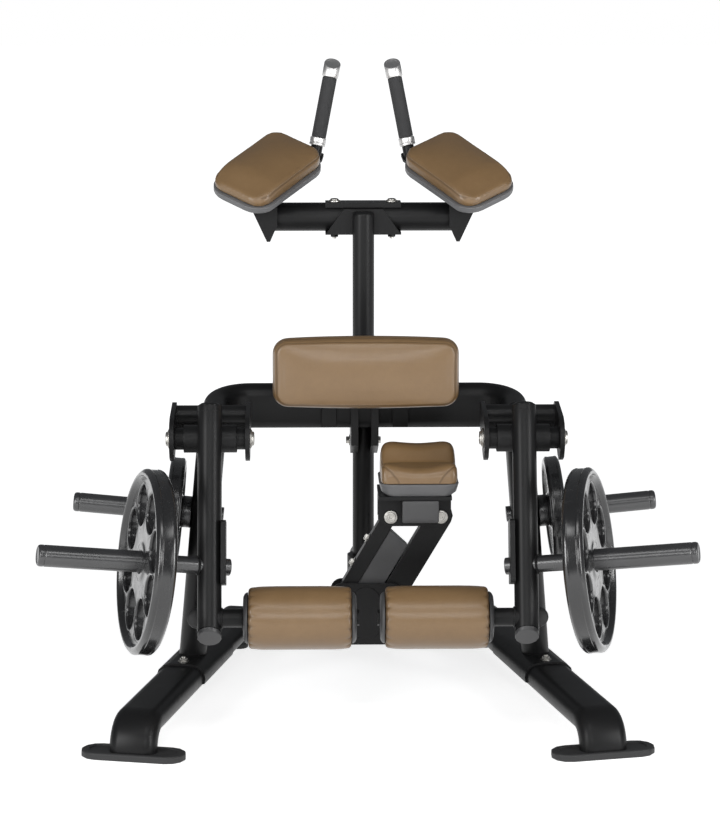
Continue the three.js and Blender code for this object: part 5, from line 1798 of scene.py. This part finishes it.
    def stub_cover(self) -> None:
        """Grey cover on the front of the carriage's square stub."""
        levels = [(1.0, -0.5), (1.0, 1.0), (0.99, 1.7), (0.97, 2.0), (0.5, 2.0), (0.0, 2.0)]
        axes = Axes((129, 10 + SHIFT, 533), (1, 0, 0), (0, 0, 1), (0, -1, 0))
        self.shop.make("stub_cover", stepped(soft_rectangle(87, 53, 4), levels, axes),
                       "knee_carriage", Slot.PLASTIC, material=self.shop.paints.cover)

    def link_bolts(self) -> None:
        """Two bolts through the left link's outer side into the stop block."""
        lean = math.radians(30.6)
        up = np.array([math.sin(lean), 0, math.cos(lean)])
        side = np.array([-math.cos(lean), 0, math.sin(lean)])
        foot = np.array([-60.3, 82 + SHIFT, 311.0]) + side * 17.1
        heads = [bolt(Axes.aimed(foot + up * at, side, up), 8.5, 7.0, 12.0) for at in (86.0, 156.0)]
        self.shop.make("stop_block_bolts", Skin.joined(heads), "knee_link_left", Slot.ZINC)

    def plug(self, side: Side) -> None:
        """Plastic plug in the open rear end of a rail."""
        levels = [(1.0, -14.0), (1.0, -1.9), (0.985, -0.6), (0.94, 0.0), (0.5, 0.25), (0.0, 0.3)]
        axes = Axes(on_rail(RAIL_BACK, RAIL_HEIGHT), (math.cos(TOE), -math.sin(TOE), 0), (0, 0, 1),
                    (math.sin(TOE), math.cos(TOE), 0))
        self.shop.pair(side, "rail_plug", stepped(oval(113, 59, 64), levels, axes), "rail",
                       Slot.PLASTIC, material=self.shop.paints.end_cap)

    def build(self) -> None:
        """Makes every fitting."""
        for side in Side:
            self.pivots(side)
            self.bumper(side)
            self.rear_foot(side)
            self.saddle_bolt(side)
        self.bar()
        self.column()
        self.knee_pins()
        self.stub_cover()
        self.link_bolts()
        for side in Side:
            self.plug(side)


# Studio.


@dataclass(frozen=True)
class Lamp:
    """Soft rectangular lamp aimed at a point."""

    name: str
    place: Triple
    aim: Triple
    size: tuple[float, float]
    power: float

    def build(self) -> None:
        """Hangs the lamp."""
        data = bpy.data.lights.new(self.name, "AREA")
        data.shape = "RECTANGLE"
        data.size, data.size_y = self.size
        data.energy = self.power
        obj = linked(self.name, data)
        obj.location = self.place
        way = Vector(self.aim) - Vector(self.place)
        obj.rotation_euler = way.to_track_quat("-Z", "Y").to_euler()


LAMPS = (
    Lamp("top", (0.0, -2.9, 3.7), (0, 0, 0.5), (3.2, 0.8), 34),
    Lamp("key", (-3.6, -3.6, 1.9), (0, 0, 0.8), (1.2, 2.6), 118),
    Lamp("fill", (3.8, -3.2, 1.8), (0, 0, 0.8), (1.2, 2.6), 105),
    Lamp("front", (0.0, -6.4, 2.7), (0, 0, 0.8), (3.6, 1.4), 80),
)


@dataclass
class Studio:
    """Camera, floor, surroundings and lamps."""

    lens: float = 118.54
    sensor: float = 36.0
    place: Triple = (-0.130, -6.3 + SHIFT * MM, 1.894)
    pitch: float = math.radians(80.0)
    yaw: float = math.radians(-1.035)
    span: float = 40.0
    surround: float = 0.16

    def camera(self) -> None:
        """Camera at the photograph's height, distance and angle."""
        data = bpy.data.cameras.new("camera")
        data.lens = self.lens
        data.sensor_width = self.sensor
        data.clip_end = 200.0
        obj = linked("camera", data)
        obj.location = self.place
        obj.rotation_euler = (self.pitch, 0.0, self.yaw)
        bpy.context.scene.camera = obj

    @staticmethod
    def seen(g: Graph) -> Expr:
        """1 for rays from the camera, from gloss and through glass, otherwise 0."""
        camera = g.node("ShaderNodeLightPath", output="Is Camera Ray")
        rays = camera.socket.node.outputs
        total = camera + Expr(g, rays["Is Glossy Ray"]) + Expr(g, rays["Is Transmission Ray"])
        return total.ramp(0.0, 1.0)

    def floor(self) -> None:
        """Pale floor that keeps the shadow and reads as white paper."""
        mesh = bpy.data.meshes.new("floor")
        s = self.span
        mesh.from_pydata([(-s, -s, 0), (s, -s, 0), (s, s, 0), (-s, s, 0)], [], [(0, 1, 2, 3)])
        g = Graph("pale_floor")
        matt = g.node("ShaderNodeBsdfDiffuse", {}, {"Color": (0.86, 0.86, 0.86, 1.0)})
        away = g.node(
            "ShaderNodeVectorMath", {"operation": "LENGTH"}, {0: g.place()}, output="Value")
        glow = g.node("ShaderNodeEmission", {}, {
            "Color": (1, 1, 1, 1), "Strength": away.ramp(1.6, 5.0, 0.74, 1.0),
        })
        both = g.node("ShaderNodeAddShader", {}, {0: matt, 1: glow})
        g.node_out(g.node("ShaderNodeMixShader", {}, {0: self.seen(g), 1: matt, 2: both}))
        mesh.materials.append(g.material)
        linked("floor", mesh)

    def world(self) -> None:
        """White surroundings for the camera, a dimmer even light for the object."""
        world = bpy.data.worlds.new("studio")
        world.use_nodes = True
        tree = world.node_tree
        tree.nodes.clear()
        path, mix, out = (tree.nodes.new(kind) for kind in (
            "ShaderNodeLightPath", "ShaderNodeMixShader", "ShaderNodeOutputWorld"))
        tree.links.new(path.outputs["Is Camera Ray"], mix.inputs[0])
        for at, strength, colour in (
                (1, self.surround, (0.93, 0.96, 1.0, 1)), (2, 1.0, (1, 1, 1, 1))):
            background = tree.nodes.new("ShaderNodeBackground")
            background.inputs["Strength"].default_value = strength
            background.inputs["Color"].default_value = colour
            tree.links.new(background.outputs[0], mix.inputs[at])
        tree.links.new(mix.outputs[0], out.inputs["Surface"])
        bpy.context.scene.world = world

    def build(self) -> None:
        """Sets the studio."""
        bpy.context.scene.view_settings.view_transform = "Standard"
        self.camera()
        self.floor()
        self.world()
        for lamp in LAMPS:
            lamp.build()


SOFTENED = (
    ("rear_cross_tube", Slot.PAINT, 1.5), ("spine", Slot.PAINT, 1.5), ("column", Slot.PAINT, 1.2),
    ("elbow_bar_cap", Slot.PAINT, 1.2), ("column_clamp", Slot.PAINT, 1.5),
    ("thigh_board", Slot.PAINT, 2.0), ("knee_link_left", Slot.PAINT, 1.6),
    ("knee_link_right", Slot.PAINT, 1.6),
    ("knee_stop_block", Slot.PLASTIC, 1.2), ("knee_base", Slot.PAINT, 1.6),
    ("knee_carriage", Slot.PAINT, 1.6), ("knee_tray", Slot.PLASTIC, 1.6),
)
SOFTENED_PAIRS = (
    ("front_foot", Slot.RUBBER, 1.4), ("pivot_bracket", Slot.PAINT, 1.8),
    ("side_frame", Slot.PAINT, 1.6), ("swing_arm", Slot.PAINT, 1.4), ("arm_cap", Slot.PLASTIC, 1.6),
    ("elbow_tray", Slot.PLASTIC, 1.4), ("elbow_bracket", Slot.PAINT, 1.6),
)


def main() -> None:
    """Builds the machine's pieces and the studio, and reports them."""
    logging.basicConfig(level=logging.INFO, format="%(message)s")
    paints = Paintbox()
    paints.carry_over()
    Studio().build()
    shop = Workshop(paints)
    for node, slot, width in SOFTENED:
        shop.softened(node, slot, width, paints.special.get(node))
    for side in Side:
        for stem, slot, width in SOFTENED_PAIRS:
            shop.softened(side.of(stem), slot, width, paints.special.get(stem))
        for piece in (HoledPlate, SmallPlate, Horns, SwingArm, Handles):
            piece(shop, side).build()
    Tubes(shop).build()
    Fittings(shop).build()
    tailor = Tailor(shop)
    ThighRest(tailor).build()
    for side in Side:
        ElbowRest(tailor, side).build()
        Roller(shop, side).build()
    KneeRest(tailor).build()
    log.info("%d pieces", shop.count)


if __name__ == "__main__":
    main()
